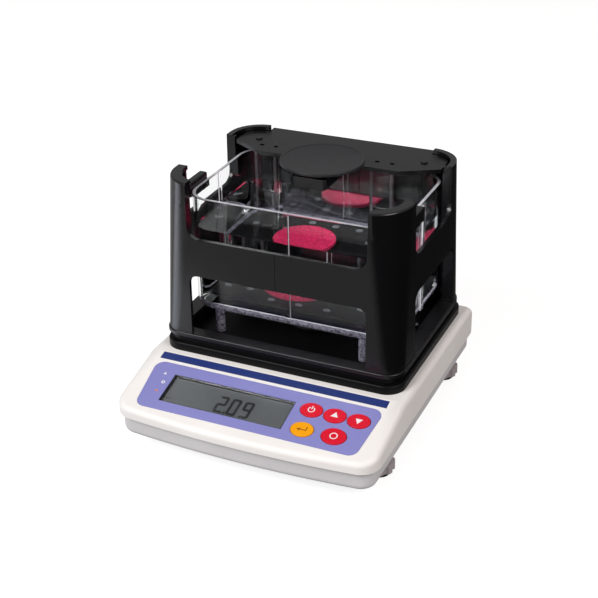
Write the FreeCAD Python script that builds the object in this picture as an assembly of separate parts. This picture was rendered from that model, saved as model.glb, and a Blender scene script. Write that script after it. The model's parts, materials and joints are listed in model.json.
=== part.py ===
import FreeCAD, Part
import math
import os

# Benchtop density meter: a small electronic balance with a water tank over it.
# Millimetres. X runs to the right, Y to the back, Z up. The origin is on the bench, under the
# middle of the balance chassis.

V = FreeCAD.Vector
OVERLAP = 0.2                # how far joined features of one solid reach into each other

# ---------------------------------------------------------------- balance chassis
BASE_WIDTH = 200.0
BASE_DEPTH = 224.0
FRONT_BOW_RADIUS = 900.0     # plan radius of the bowed front edge
FRONT_CORNER_RADIUS = 15.0
REAR_CORNER_RADIUS = 10.5
CASE_BOTTOM_Z = 13.0
CASE_HEIGHT = 16.0
COVER_HEIGHT = 23.0
SEAM_Z = CASE_BOTTOM_Z + CASE_HEIGHT     # parting line of lower case and upper cover
TOP_Z = SEAM_Z + COVER_HEIGHT            # flat top of the cover
SHELL_WALL = 2.6
CASE_INSET = 3.0             # lower case set in from the cover
COVER_EDGE_RADIUS = 4.5
CASE_EDGE_RADIUS = 5.0
LIP_HEIGHT = 2.0
LIP_GAP = 0.2
PANEL_SLOPE_DEG = 14.0
PANEL_DEPTH = 64.5           # from the front of the cover to the fold
PANEL_FOLD_Y = -BASE_DEPTH / 2 + PANEL_DEPTH   # where the flat top turns into the sloped panel
REAR_FOLD_Y = BASE_DEPTH / 2 - REAR_CORNER_RADIUS   # where the flat top turns into the rear bevel
REAR_BEVEL_DROP = 8.5        # fall of the bevel to the back wall

# ---------------------------------------------------------------- panel parts, in panel coordinates
STRIP_SIDE_MARGIN = 11.3     # from the side of the cover
STRIP_HALF_WIDTH = BASE_WIDTH / 2 - STRIP_SIDE_MARGIN
STRIP_BACK = -1.4
STRIP_HEIGHT = 6.7
OVERLAY_SIDE_MARGIN = 11.0   # from the side of the cover
OVERLAY_HALF_WIDTH = BASE_WIDTH / 2 - OVERLAY_SIDE_MARGIN
OVERLAY_TAPER = 5.0          # each side runs in by this towards the front
OVERLAY_BACK = -11.0
OVERLAY_HEIGHT = 45.0
OVERLAY_CORNER = 7.0
SHEET_THICKNESS = 0.6
SHEET_RECESS = 0.5
WINDOW_LEFT_MARGIN = 19.7    # from the left edge of the panel sheet
WINDOW_RIGHT_MARGIN = 62.5   # room for the keys at the right
WINDOW_LEFT = -OVERLAY_HALF_WIDTH + WINDOW_LEFT_MARGIN
WINDOW_WIDTH = 2 * OVERLAY_HALF_WIDTH - WINDOW_LEFT_MARGIN - WINDOW_RIGHT_MARGIN
WINDOW_BACK = -20.8
WINDOW_HEIGHT = 26.9
WINDOW_PANE = 1.0
WINDOW_PANE_DROP = 0.2
BEZEL_WALL = 1.1
LCD_DROP = 2.4               # LCD surface below the panel surface
LCD_MARGIN = 3.0
BOARD_THICKNESS = 1.6
KEY_BOARD_DROP = 7.2
KEY_BOARD_LEFT_MARGIN = 8.7  # board beyond the left edge of the window
KEY_BOARD_SIDE_GAP = 12.0    # right edge of the board from the side of the cover
KEY_BOARD_BACK_MARGIN = 3.5
KEY_BOARD_FRONT_MARGIN = 2.0
KEY_BOARD_BOSS_INSET = 3.5
KEY_BOARD_BOSS_RADIUS = 2.6
KEY_BOARD_BOSS_GAP = 2.4     # between the window and the boss next to it
KEY_BOARD_SIDE_EXTRA = 1.0   # the boss at the right stands in by this much more
KEY_BOARD_SCREW_LENGTH = 4.5
KEY_PROUD = 0.8
KEY_GAP = 0.35
KEY_TRAVEL = 0.5
KEY_EDGE_RADIUS = 0.5
KEY_TAB_REACH = 1.2
KEY_TAB_HALF_WIDTH = 3.0
KEY_TAB_THICKNESS = 1.2
KEY_STEM_RADIUS = 2.0
KEY_STEM_DEPTH = 0.9         # stem inside the switch well
SWITCH_SIZE = 6.4
SWITCH_HEIGHT = 2.2
SWITCH_WELL_GAP = 0.3
# key name: (distance from the right edge and from the back edge of the sheet, half width, half height)
KEY_PLACES = {
    "key_on_off": (49.0, 14.0, 8.2, 6.5),
    "key_up": (31.4, 14.3, 8.2, 6.5),
    "key_down": (13.8, 14.3, 8.2, 6.5),
    "key_enter": (48.2, 32.6, 8.3, 6.6),
    "key_zero": (25.0, 32.2, 9.0, 7.2),
}
KEYS = {name: (OVERLAY_HALF_WIDTH - from_right, OVERLAY_BACK - from_back, half_x, half_y)
        for name, (from_right, from_back, half_x, half_y) in KEY_PLACES.items()}

# ---------------------------------------------------------------- levelling feet
FOOT_SIDE_INSET = 14.0
FOOT_FRONT_INSET = 51.5
FOOT_REAR_INSET = 33.5
FOOT_X = BASE_WIDTH / 2 - FOOT_SIDE_INSET
FOOT_FRONT_Y = -BASE_DEPTH / 2 + FOOT_FRONT_INSET
FOOT_REAR_Y = BASE_DEPTH / 2 - FOOT_REAR_INSET
PAD_RADIUS = 8.0
PAD_HEIGHT = 3.3
PAD_WHEEL_GAP = 0.3
WHEEL_RADIUS = 11.0
WHEEL_BOTTOM_Z = PAD_HEIGHT + PAD_WHEEL_GAP
WHEEL_HEIGHT = 6.8
WHEEL_LOBES = 8
LOBE_CUT_RADIUS = 2.7
LOBE_CUT_OFFSET = 1.3        # scallop centre outside the wheel's rim
STUD_RADIUS = 3.0
STUD_REACH = 12.0            # stud inside the case
STUD_TOP_Z = CASE_BOTTOM_Z + STUD_REACH
RUNNING_GAP = 0.05
INSERT_RADIUS = 4.5
INSERT_SINK = 1.0            # lower end of the insert above the case bottom
INSERT_LENGTH = 12.0
INSERT_TOP_Z = CASE_BOTTOM_Z + INSERT_SINK + INSERT_LENGTH
FOOT_BOSS_RADIUS = 7.0
PIVOT_RADIUS = 2.5
PIVOT_HEIGHT = 3.0
PIVOT_END_GAP = 0.3

# ---------------------------------------------------------------- case screws
CASE_SCREW_SIDE_INSET = 12.0
CASE_SCREW_FOLD_GAP = 16.5   # behind the fold of the panel
CASE_SCREW_REAR_INSET = 15.0
CASE_SCREW_BITE = 11.0       # thread in the cover's boss
CASE_SCREW_X = BASE_WIDTH / 2 - CASE_SCREW_SIDE_INSET
CASE_SCREW_FRONT_Y = PANEL_FOLD_Y + CASE_SCREW_FOLD_GAP
CASE_SCREW_REAR_Y = BASE_DEPTH / 2 - CASE_SCREW_REAR_INSET
SCREW_BOSS_RADIUS = 4.0
SCREW_HEAD_RADIUS = 2.8
SCREW_HEAD_HEIGHT = 2.0
SCREW_SHANK_RADIUS = 1.5
SCREW_HOLE_GAP = 0.2
THREAD_GAP = 0.05            # round a screw in the hole that it is screwed into
SCREW_POCKET_DEPTH = 4.0
CASE_SCREW_TOP_Z = SEAM_Z + CASE_SCREW_BITE

# ---------------------------------------------------------------- load cell and weighing platform
SENSOR_REAR_INSET = 83.0     # axis of the spindle from the back of the cover
SENSOR_Y = BASE_DEPTH / 2 - SENSOR_REAR_INSET
CELL_HALF_WIDTH = 9.0
CELL_LENGTH = 84.0
CELL_SPINDLE_INSET = 12.0    # spindle axis from the free end of the cell
CELL_REAR_Y = SENSOR_Y + CELL_SPINDLE_INSET
CELL_FRONT_Y = CELL_REAR_Y - CELL_LENGTH
CELL_LIFT = 9.0
CELL_BOTTOM_Z = CASE_BOTTOM_Z + CELL_LIFT
CELL_HEIGHT = 20.0
CELL_HOLE_RADIUS = 6.2
CELL_HOLE_PITCH = 11.0
CELL_SLOT_HEIGHT = 3.0
CELL_FOOT_LENGTH = 22.0
CELL_FOOT_HEIGHT = 1.5       # pad of the plate that the fixed end lies on
PLATE_HALF_WIDTH = 24.0
PLATE_THICKNESS = 3.0
PLATE_MARGIN = 5.0
PLATE_BOSS_RADIUS = 4.5
STOP_RADIUS = 2.5
STOP_GAP = 0.5
SPINDLE_RADIUS = 6.0
SPINDLE_FLANGE_RADIUS = 11.0
SPINDLE_FLANGE_HEIGHT = 2.5
SPINDLE_HOLE_RADIUS = 14.0
PLATFORM_LIFT = 3.5          # underside of the platform over the floor of the tray's recess
PLATFORM_THICKNESS = 3.0
PLATFORM_HUB_RADIUS = 22.0
PLATFORM_SPINE_HALF_WIDTH = 14.0
PLATFORM_BAR_CORNER = 3.0
PLATFORM_BAR_MARGIN = 3.0    # bar in front of the legs

# ---------------------------------------------------------------- boards, inlet, flat cables
MAIN_BOARD_SIDE_GAP = 1.5    # to the boss of the foot
MAIN_BOARD_WIDTH = 55.5
MAIN_BOARD_DEPTH = 56.0
MAIN_BOARD_REAR_GAP = 2.4
MAIN_BOARD_LIFT = 2.0        # height of its bosses over the case floor
BOARD_BOSS_RADIUS = 3.0
BOARD_BOSS_INSET = 4.5
BOARD_SCREW_RADIUS = 1.1
BOARD_SCREW_HEAD_RADIUS = 2.2
BOARD_SCREW_HEAD_HEIGHT = 1.4
JACK_BOARD_INSET = 19.5      # from the right edge of the main board
JACK_WIDTH = 9.0
JACK_HEIGHT = 8.0
JACK_LENGTH = 14.0
JACK_NOSE_RADIUS = 3.8
JACK_BORE_RADIUS = 2.8
JACK_BORE_DEPTH = 9.5
# chips on the main board: (x, y) of the near corner on the board, width, depth, height
BOARD_CHIPS = ((12.0, 20.0, 12.0, 12.0, 2.0), (32.0, 14.0, 8.0, 14.0, 2.0), (44.0, 18.0, 8.0, 12.0, 3.0))
CAPACITORS = ((18.0, 49.0), (18.0, 39.0))
CAPACITOR_RADIUS = 4.0
CAPACITOR_HEIGHT = 8.0
CABLE_THICKNESS = 0.8
RIBBON_WIDTH = 12.0
RIBBON_BOARD_INSET = 12.0    # from the left edge of the main board
RIBBON_HEIGHT = 4.0          # of its straight run over the main board
RIBBON_FRONT_RUN = 6.0
RIBBON_REACH = 3.0           # over the edge of the main board
SENSOR_CABLE_WIDTH = 5.0
SENSOR_CABLE_INSET = 6.0
SENSOR_CABLE_SPINDLE_GAP = 4.0
SENSOR_CABLE_RUN = 7.0
SENSOR_CABLE_REACH = 12.0
CABLE_END_GAP = 0.1

# ---------------------------------------------------------------- tray on the cover
TRAY_SIDE_INSET = 6.7
TRAY_FOLD_GAP = 4.2
TRAY_REAR_INSET = 11.4
TRAY_HALF_WIDTH = BASE_WIDTH / 2 - TRAY_SIDE_INSET
TRAY_FRONT_Y = PANEL_FOLD_Y + TRAY_FOLD_GAP
TRAY_REAR_Y = BASE_DEPTH / 2 - TRAY_REAR_INSET
TRAY_HEIGHT = 12.5
TRAY_TOP_Z = TOP_Z + TRAY_HEIGHT
TRAY_PLATE_HEIGHT = 6.5      # the widest, lowest part of the tray
TRAY_NECK_INSET = 3.0        # the part over it, under the frame's flange, is set in by this
TRAY_CORNER_RADIUS = 14.0
TRAY_EDGE_RADIUS = 1.4
TRAY_SIDE_WALL = 12.3
RECESS_HALF_WIDTH = TRAY_HALF_WIDTH - TRAY_SIDE_WALL
TRAY_FRONT_WALL = 10.3
TRAY_REAR_WALL = 5.1
RECESS_FRONT_Y = TRAY_FRONT_Y + TRAY_FRONT_WALL
RECESS_REAR_Y = TRAY_REAR_Y - TRAY_REAR_WALL
RECESS_DEPTH = 8.0
RECESS_FLOOR_Z = TRAY_TOP_Z - RECESS_DEPTH
RECESS_CORNER_RADIUS = 12.0
TRAY_FLOOR = 2.5             # thickness under the recess
TRAY_RIM = 5.0               # width of the tray's foot all round
TRAY_SCREW_SIDE_INSET = 9.0
TRAY_SCREW_FRONT_INSET = 10.0
TRAY_SCREW_REAR_INSET = 46.5
TRAY_SCREW_X = RECESS_HALF_WIDTH - TRAY_SCREW_SIDE_INSET
TRAY_SCREW_FRONT_Y = RECESS_FRONT_Y + TRAY_SCREW_FRONT_INSET
TRAY_SCREW_REAR_Y = RECESS_REAR_Y - TRAY_SCREW_REAR_INSET
TRAY_SCREW_DEPTH = 7.0       # below the top of the cover
TRAY_BOSS_LENGTH = 10.0
TRAY_SCREW_HEAD_RADIUS = 3.2

# ---------------------------------------------------------------- frame round the tank
# sizes that change evenly from the frame's foot to the top of its posts: (at the foot, at the top)
FRAME_STEPS = (0.9, 3.0)             # outer face set in from the tray's side
FRAME_FRONT_RADII = (13.5, 27.5)     # plan radius of the front corners
FRAME_REAR_RADII = (20.0, 24.5)
FRAME_WALL = 3.0
FLANGE_HEIGHT = 3.0
FLANGE_INSET = 0.2           # flange of the frame inside the edge of the tray
FLANGE_REAR_RADIUS = 20.0
FLANGE_EDGE_RADIUS = 0.8
BELT_LIFT = 51.0
BELT_BOTTOM_Z = TRAY_TOP_Z + BELT_LIFT
BELT_HEIGHT = 28.5
BELT_TOP_Z = BELT_BOTTOM_Z + BELT_HEIGHT
POST_HEIGHT = 120.5
POST_TOP_Z = TRAY_TOP_Z + POST_HEIGHT
REAR_POST_DROP = 4.0
REAR_WALL_DROP = 11.5
REAR_POST_TOP_Z = POST_TOP_Z - REAR_POST_DROP
REAR_WALL_TOP_Z = POST_TOP_Z - REAR_WALL_DROP
SEAM_OFFSET = 0.85           # side seams of the four corner pieces, behind the middle of the tray
SEAM_Y = (TRAY_FRONT_Y + TRAY_REAR_Y) / 2 + SEAM_OFFSET
SEAM_GAP = 0.3
FRONT_POST_REACH = 25.3      # widths of the corner posts along the front, back and sides
REAR_RIM_REACH = 26.3
SIDE_FRONT_REACH = 34.3
SIDE_REAR_REACH = 25.6
NOTCH_REAR_REACH = 33.6
FRONT_WINDOW_HALF_WIDTH = TRAY_HALF_WIDTH - FRONT_POST_REACH
REAR_RIM_X = TRAY_HALF_WIDTH - REAR_RIM_REACH      # the raised rim of a rear corner starts here
SIDE_WINDOW_FRONT_Y = TRAY_FRONT_Y + SIDE_FRONT_REACH
SIDE_WINDOW_REAR_Y = TRAY_REAR_Y - SIDE_REAR_REACH
SIDE_NOTCH_REAR_Y = TRAY_REAR_Y - NOTCH_REAR_REACH
WINDOW_CORNER_RADIUS = 7.0
NOTCH_CORNER_RADIUS = 9.0
LIP_THICKNESS = 3.0
LIP_REACH = 3.8              # from the inner face at the top of the posts
LIP_ROOT = 0.4               # root of a lip under the outer face at the top
LIP_RUN = 10.0               # a lip runs on by this much behind the belt
FRONT_LEDGE_WIDTH = 5.0
REAR_LEDGE_WIDTH = 1.5
LEDGE_THICKNESS = 3.0
POST_EDGE_RADIUS = 1.4
LAP_LENGTH = 8.0
LAP_EDGE_INSET = 3.0         # from the edge of the wall to the tab
LAP_ROOT_START = 2.0         # from the seam to where the tab joins its own piece
LAP_MAX_HEIGHT = 40.0
LAP_THICKNESS = 1.6
LAP_GAP = 0.1
FRAME_SCREW_RADIUS = 1.6
FRAME_SCREW_SINK = 0.5       # head below the underside of the tray
FRAME_SCREW_BITE = 2.2       # thread in the frame's flange
FRAME_SCREW_HEAD_RADIUS = 2.6
FRAME_SCREW_HEAD_HEIGHT = 1.8
FRAME_SCREW_SIDE_INSET = 6.8
FRAME_SCREW_FRONT_INSET = 22.3
FRAME_SCREW_SEAM_FRONT_GAP = 10.5
FRAME_SCREW_SEAM_REAR_GAP = 24.5
FRAME_SCREW_REAR_INSET = 16.6
FRAME_SCREW_X = TRAY_HALF_WIDTH - FRAME_SCREW_SIDE_INSET
FRAME_SCREW_PLACES = ((FRAME_SCREW_X, TRAY_FRONT_Y + FRAME_SCREW_FRONT_INSET),
                      (FRAME_SCREW_X, SEAM_Y - FRAME_SCREW_SEAM_FRONT_GAP),
                      (FRAME_SCREW_X, SEAM_Y + FRAME_SCREW_SEAM_REAR_GAP),
                      (FRAME_SCREW_X, TRAY_REAR_Y - FRAME_SCREW_REAR_INSET))
GUIDE_LENGTH = 26.0
GUIDE_HEIGHT = 11.0
GUIDE_TOP_GAP = 14.0         # below the top of the posts
GUIDE_BOTTOM_Z = POST_TOP_Z - GUIDE_TOP_GAP - GUIDE_HEIGHT
GUIDE_TOP_Z = GUIDE_BOTTOM_Z + GUIDE_HEIGHT
GUIDE_EDGE_RADIUS = 1.5
GUIDE_WALL_GAP = 0.2         # to the wall of the frame

# ---------------------------------------------------------------- tank
TANK_SIDE_ROOM = 12.3        # from the side of the tray to the tank
TANK_HALF_WIDTH = TRAY_HALF_WIDTH - TANK_SIDE_ROOM
TANK_FRONT_ROOM = 22.3
TANK_REAR_ROOM = 13.6
TANK_TOP_DROP = 19.0         # rim of the tank below the top of the posts
TANK_FRONT_Y = TRAY_FRONT_Y + TANK_FRONT_ROOM
TANK_REAR_Y = TRAY_REAR_Y - TANK_REAR_ROOM
SUPPORT_HEIGHT = 19.2
TANK_BOTTOM_Z = RECESS_FLOOR_Z + SUPPORT_HEIGHT
TANK_TOP_Z = POST_TOP_Z - TANK_TOP_DROP
TANK_CORNER_RADIUS = 19.0
TANK_WALL = 2.6
TANK_FLOOR = 3.0
TANK_EDGE_RADIUS = 8.0
TANK_INNER_EDGE_RADIUS = 5.0
TANK_RIB_WIDTH = 3.6
TANK_RIB_PROUD = 1.2
TANK_RIB_MARGIN = 5.0
TANK_GUIDE_GAP = 0.3
SUPPORT_SIDE_INSET = 23.4
SUPPORT_SHIFT = -3.5         # the supports stand to the left of the middle by this
SUPPORT_FRONT_INSET = 10.0
SUPPORT_REAR_INSET = 12.0
SUPPORT_X = TANK_HALF_WIDTH - SUPPORT_SIDE_INSET
SUPPORT_FRONT_Y = TANK_FRONT_Y + SUPPORT_FRONT_INSET
SUPPORT_REAR_Y = TANK_REAR_Y - SUPPORT_REAR_INSET
SUPPORT_RADIUS = 3.6

# ---------------------------------------------------------------- measuring stage
STAGE_SIDE_INSET = 11.3      # from the side of the tray
STAGE_DEPTH = 48.6           # from the back of the tray
STAGE_CHAMFER_DEPTH = 15.0
STAGE_CHAMFER_WIDTH = 27.0
STAGE_HALF_WIDTH = TRAY_HALF_WIDTH - STAGE_SIDE_INSET
STAGE_FRONT_Y = TRAY_REAR_Y - STAGE_DEPTH
STAGE_SIDE_Y = STAGE_FRONT_Y + STAGE_CHAMFER_DEPTH      # where the front chamfer meets the side
STAGE_FRONT_HALF_WIDTH = STAGE_HALF_WIDTH - STAGE_CHAMFER_WIDTH
STAGE_THICKNESS = 3.0
STAGE_LIFT = 1.5             # plate over the rear wall of the frame
STAGE_TOP_Z = REAR_WALL_TOP_Z + STAGE_LIFT + STAGE_THICKNESS
STAGE_GAP = 1.0              # to the rims of the rear corners
ARM_HALF_WIDTH = 13.0
ARM_LENGTH = 35.0            # in front of the plate
ARM_CORNER_RADIUS = 2.5
ARM_DEPTH = 8.0
ARM_ROOT = 5.0               # how far the arm runs under the plate
DISH_OVERHANG = 9.4          # axis of the dish in front of the plate
DISH_Y = STAGE_FRONT_Y - DISH_OVERHANG
ARM_FRONT_Y = STAGE_FRONT_Y - ARM_LENGTH
DISH_RADIUS = 31.0
DISH_LIFT = 3.0              # underside of the dish over the plate
DISH_THICKNESS = 2.5
DISH_TOP_Z = STAGE_TOP_Z + DISH_LIFT + DISH_THICKNESS
DISH_HOLLOW = 0.5            # depth of the shallow hollow on top
DISH_RIM = 1.6
DISH_EDGE_RADIUS = 0.7
DISH_HUB_RADIUS = 9.0
DISH_SPIGOT_RADIUS = 4.0
DISH_SPIGOT_LENGTH = 5.0
DISH_GAP = 0.3
HANGER_SIDE_INSET = 35.5     # from the side of the plate
HANGER_SHIFT = -6.5          # the hangers hang to the left of the middle by this
HANGER_PLATE_INSET = 12.0    # from the front of the plate
HANGER_X = STAGE_HALF_WIDTH - HANGER_SIDE_INSET
HANGER_Y = STAGE_FRONT_Y + HANGER_PLATE_INSET
HANGER_WIDTH = 18.0
HANGER_THICKNESS = 2.4
HANGER_FLANGE = 7.0
HOOK_OFFSET = 5.8
HOOK_SIZE = 2.4
HOOK_HOLE_SIZE = 3.2
HOOK_DROP = 1.8              # hook end below the plate's top
PAN_SIDE_ROOM = 9.0
PAN_FRONT_ROOM = 17.0
PAN_REAR_ROOM = 8.0
PAN_HALF_WIDTH = TANK_HALF_WIDTH - PAN_SIDE_ROOM
PAN_FRONT_Y = TANK_FRONT_Y + PAN_FRONT_ROOM
PAN_REAR_Y = TANK_REAR_Y - PAN_REAR_ROOM
PAN_LIFT = 5.3               # pan over the floor of the tank
PAN_BOTTOM_Z = TANK_BOTTOM_Z + TANK_FLOOR + PAN_LIFT
PAN_THICKNESS = 2.0
PAN_CORNER_RADIUS = 14.0
PIP_RADIUS = 2.8
PIP_PROUD = 0.8
PIP_MARGIN = 4.0             # least distance of a pip from the edge of the pan
# rows of pips on the immersed pan: distance from its back edge: distances from the middle line
PIP_ROWS = {
    9.0: (0.0, 20.0, 49.0),
    27.0: (35.0, 61.0),
    58.0: (44.0, 62.0),
    73.0: (0.0, 22.0),
}
LEG_HALF_WIDTH = 5.0
LEG_SIDE_INSET = 14.5
LEG_X = TANK_HALF_WIDTH - LEG_SIDE_INSET
LEG_TANK_GAP = 1.0
LEG_THICKNESS = 4.0
LEG_FRONT_Y = TANK_REAR_Y + LEG_TANK_GAP
LEG_REAR_Y = LEG_FRONT_Y + LEG_THICKNESS
LEG_HEAD_HALF_WIDTH = 7.0
LEG_HEAD_THICKNESS = 3.0
PEG_RADIUS = 1.8
PEG_HEIGHT = 5.0
PEG_GAP = 0.3
STAGE_SCREW_RADIUS = 1.4
STAGE_SCREW_HEAD_RADIUS = 2.6
STAGE_SCREW_HEAD_HEIGHT = 1.0
STAGE_SCREW_INSET = 6.0      # from the front end of the leg's head
STAGE_SCREW_PLATE_INSET = 23.0   # from the front of the plate
STAGE_SCREW_Y = STAGE_FRONT_Y + STAGE_SCREW_PLATE_INSET
LEG_HEAD_FRONT_Y = STAGE_SCREW_Y - STAGE_SCREW_INSET
SAMPLE_X = -12.0
SAMPLE_REAR_ROOM = 43.0
SAMPLE_Y = PAN_REAR_Y - SAMPLE_REAR_ROOM
SAMPLE_RADIUS = 24.5
SAMPLE_THICKNESS = 6.0
SAMPLE_EDGE_RADIUS = 1.0


FAR = 2 * BASE_DEPTH         # reach of the blocks that cut or keep one side of a shape


# ================================================================ helpers
def box(x0, x1, y0, y1, z0, z1):
    """A block between two corners."""
    return Part.makeBox(x1 - x0, y1 - y0, z1 - z0, V(x0, y0, z0))


def cylinder(x, y, z0, z1, radius):
    """An upright cylinder."""
    return Part.makeCylinder(radius, z1 - z0, V(x, y, z0))


def polygon_face(points):
    return Part.Face(Part.makePolygon(points + points[:1]))


def rounded_block(x0, x1, y0, y1, z0, z1, radius):
    """A block with rounded upright corners."""
    block = box(x0, x1, y0, y1, z0, z1)
    upright = [e for e in block.Edges if e.BoundBox.ZLength > 0.5 * (z1 - z0)]
    return block.makeFillet(radius, upright)


def solid_of(shape):
    """The one solid of a boolean result, with its seams cleaned."""
    cleaned = shape.removeSplitter()
    return cleaned.Solids[0] if len(cleaned.Solids) == 1 else cleaned


def fillet_where(shape, radius, test):
    """Round the edges whose middle point and box pass the test."""
    edges = [e for e in shape.Edges if test(e)]
    return shape.makeFillet(radius, edges)


def mirrored_x(shape):
    return shape.mirror(V(0, 0, 0), V(1, 0, 0))


def both_sides(shape):
    """The shape and its mirror image across the middle plane."""
    return [shape, mirrored_x(shape)]


def four_corners(x, front_y, rear_y):
    return [(sx * x, y) for sx in (-1, 1) for y in (front_y, rear_y)]


def save(name, shapes):
    """Write one node; a list of shapes becomes a group of separate solids."""
    shape = Part.makeCompound(shapes) if isinstance(shapes, list) else shapes
    shape.exportStep("parts/" + name + ".step")


# ---------------------------------------------------------------- chassis outline and panel frame
def chassis_wire(inset, z):
    """Outline of the chassis in plan: bowed front, rounded corners, straight sides and back."""
    half = BASE_WIDTH / 2 - inset
    rear = BASE_DEPTH / 2 - inset
    bow_centre_y = -BASE_DEPTH / 2 + FRONT_BOW_RADIUS
    bow = FRONT_BOW_RADIUS - inset
    corner = FRONT_CORNER_RADIUS - inset
    centre_x = half - corner
    centre_y = bow_centre_y - math.sqrt((bow - corner) ** 2 - centre_x ** 2)
    reach = bow / (bow - corner)
    meet = V(centre_x * reach, bow_centre_y + (centre_y - bow_centre_y) * reach, z)
    middle_angle = math.atan2(centre_y - bow_centre_y, centre_x) / 2
    on_corner = V(centre_x + corner * math.cos(middle_angle), centre_y + corner * math.sin(middle_angle), z)
    back = REAR_CORNER_RADIUS - inset
    diagonal = back * math.sqrt(0.5)
    start = V(half, centre_y, z)
    side_end = V(half, rear - back, z)
    corner_middle = V(half - back + diagonal, rear - back + diagonal, z)
    back_start = V(half - back, rear, z)

    def left(point):
        return V(-point.x, point.y, point.z)

    edges = [
        Part.Arc(left(meet), V(0, bow_centre_y - bow, z), meet),
        Part.Arc(meet, on_corner, start),
        Part.LineSegment(start, side_end),
        Part.Arc(side_end, corner_middle, back_start),
        Part.LineSegment(back_start, left(back_start)),
        Part.Arc(left(back_start), left(corner_middle), left(side_end)),
        Part.LineSegment(left(side_end), left(start)),
        Part.Arc(left(start), left(on_corner), left(meet)),
    ]
    return Part.Wire([e.toShape() for e in edges])


def chassis_prism(inset, z0, z1):
    return Part.Face(chassis_wire(inset, z0)).extrude(V(0, 0, z1 - z0))


SLOPE = math.radians(PANEL_SLOPE_DEG)
PANEL = FreeCAD.Placement(V(0, PANEL_FOLD_Y, TOP_Z), FreeCAD.Rotation(V(1, 0, 0), PANEL_SLOPE_DEG))


def on_panel(shape):
    """Place a shape drawn flat (x right, y up the slope, z out of the panel) on the sloped panel."""
    placed = shape.copy()
    placed.Placement = PANEL.multiply(placed.Placement)
    return placed


def cover_form(inset, z0):
    """The cover's closed outer form, moved in by inset: sloped panel, flat top, bevel at the back."""
    top = TOP_Z - inset
    bevel = math.atan2(REAR_BEVEL_DROP, BASE_DEPTH / 2 - REAR_FOLD_Y)
    front, back = -BASE_DEPTH, BASE_DEPTH
    front_fold = PANEL_FOLD_Y + inset * math.tan(SLOPE / 2)
    rear_fold = REAR_FOLD_Y - inset * math.tan(bevel / 2)
    side = -BASE_WIDTH
    profile = polygon_face([
        V(side, front, z0 - BASE_DEPTH), V(side, back, z0 - BASE_DEPTH),
        V(side, back, top - (back - rear_fold) * math.tan(bevel)), V(side, rear_fold, top),
        V(side, front_fold, top), V(side, front, top - (front_fold - front) * math.tan(SLOPE))])
    return chassis_prism(inset, z0, TOP_Z + 1.0).common(profile.extrude(V(2 * BASE_WIDTH, 0, 0)))


# ================================================================ chassis
def elliptic_prism(x, y, half_x, half_y, z0, z1):
    ellipse = Part.Ellipse(V(x, y, z0), half_x, half_y)
    return Part.Face(Part.Wire([ellipse.toShape()])).extrude(V(0, 0, z1 - z0))


def overlay_outline(grow, z0, z1):
    """The control panel sheet in panel coordinates: a trapezium with rounded corners."""
    back, front = OVERLAY_BACK + grow, OVERLAY_BACK - OVERLAY_HEIGHT - grow
    wide = OVERLAY_HALF_WIDTH + grow
    narrow = OVERLAY_HALF_WIDTH - OVERLAY_TAPER + grow
    face = polygon_face([V(-wide, back, z0), V(-narrow, front, z0), V(narrow, front, z0), V(wide, back, z0)])
    prism = face.extrude(V(0, 0, z1 - z0))
    upright = [e for e in prism.Edges if e.BoundBox.YLength < 1e-4 and e.BoundBox.XLength < 1e-4]
    return prism.makeFillet(OVERLAY_CORNER + grow, upright)


def strip_block(grow, z0, z1):
    return box(-STRIP_HALF_WIDTH - grow, STRIP_HALF_WIDTH + grow,
               STRIP_BACK - STRIP_HEIGHT - grow, STRIP_BACK + grow, z0, z1)


def window_block(shrink, z0, z1):
    return box(WINDOW_LEFT + shrink, WINDOW_LEFT + WINDOW_WIDTH - shrink,
               WINDOW_BACK - WINDOW_HEIGHT + shrink, WINDOW_BACK - shrink, z0, z1)


KEY_BOARD_X = (WINDOW_LEFT - KEY_BOARD_LEFT_MARGIN, BASE_WIDTH / 2 - KEY_BOARD_SIDE_GAP)
KEY_BOARD_Y = (OVERLAY_BACK - OVERLAY_HEIGHT + KEY_BOARD_FRONT_MARGIN, OVERLAY_BACK - KEY_BOARD_BACK_MARGIN)
# the fourth boss stands between the window and the keys
KEY_BOARD_BOSSES = [(KEY_BOARD_X[0] + KEY_BOARD_BOSS_INSET, KEY_BOARD_Y[1] - KEY_BOARD_BOSS_INSET),
                    (KEY_BOARD_X[0] + KEY_BOARD_BOSS_INSET, KEY_BOARD_Y[0] + KEY_BOARD_BOSS_INSET),
                    (KEY_BOARD_X[1] - KEY_BOARD_BOSS_INSET - KEY_BOARD_SIDE_EXTRA,
                      KEY_BOARD_Y[0] + KEY_BOARD_BOSS_INSET),
                    (WINDOW_LEFT + WINDOW_WIDTH + KEY_BOARD_BOSS_RADIUS + KEY_BOARD_BOSS_GAP,
                     KEY_BOARD_Y[1] - KEY_BOARD_BOSS_RADIUS)]
CASE_SCREWS = four_corners(CASE_SCREW_X, CASE_SCREW_FRONT_Y, CASE_SCREW_REAR_Y)
FEET = {"front_left": (-FOOT_X, FOOT_FRONT_Y), "front_right": (FOOT_X, FOOT_FRONT_Y),
        "rear_left": (-FOOT_X, FOOT_REAR_Y), "rear_right": (FOOT_X, FOOT_REAR_Y)}
TRAY_SCREWS = four_corners(TRAY_SCREW_X, TRAY_SCREW_FRONT_Y, TRAY_SCREW_REAR_Y)
FLOOR_Z = CASE_BOTTOM_Z + SHELL_WALL
PLATE_BOTTOM_Z = CELL_BOTTOM_Z - PLATE_THICKNESS - CELL_FOOT_HEIGHT
PLATE_BOSSES = four_corners(PLATE_HALF_WIDTH - PLATE_BOSS_RADIUS, CELL_FRONT_Y, CELL_REAR_Y)
CASE_REAR_Y = BASE_DEPTH / 2 - CASE_INSET
MAIN_BOARD_REAR_Y = CASE_REAR_Y - SHELL_WALL - MAIN_BOARD_REAR_GAP
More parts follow.
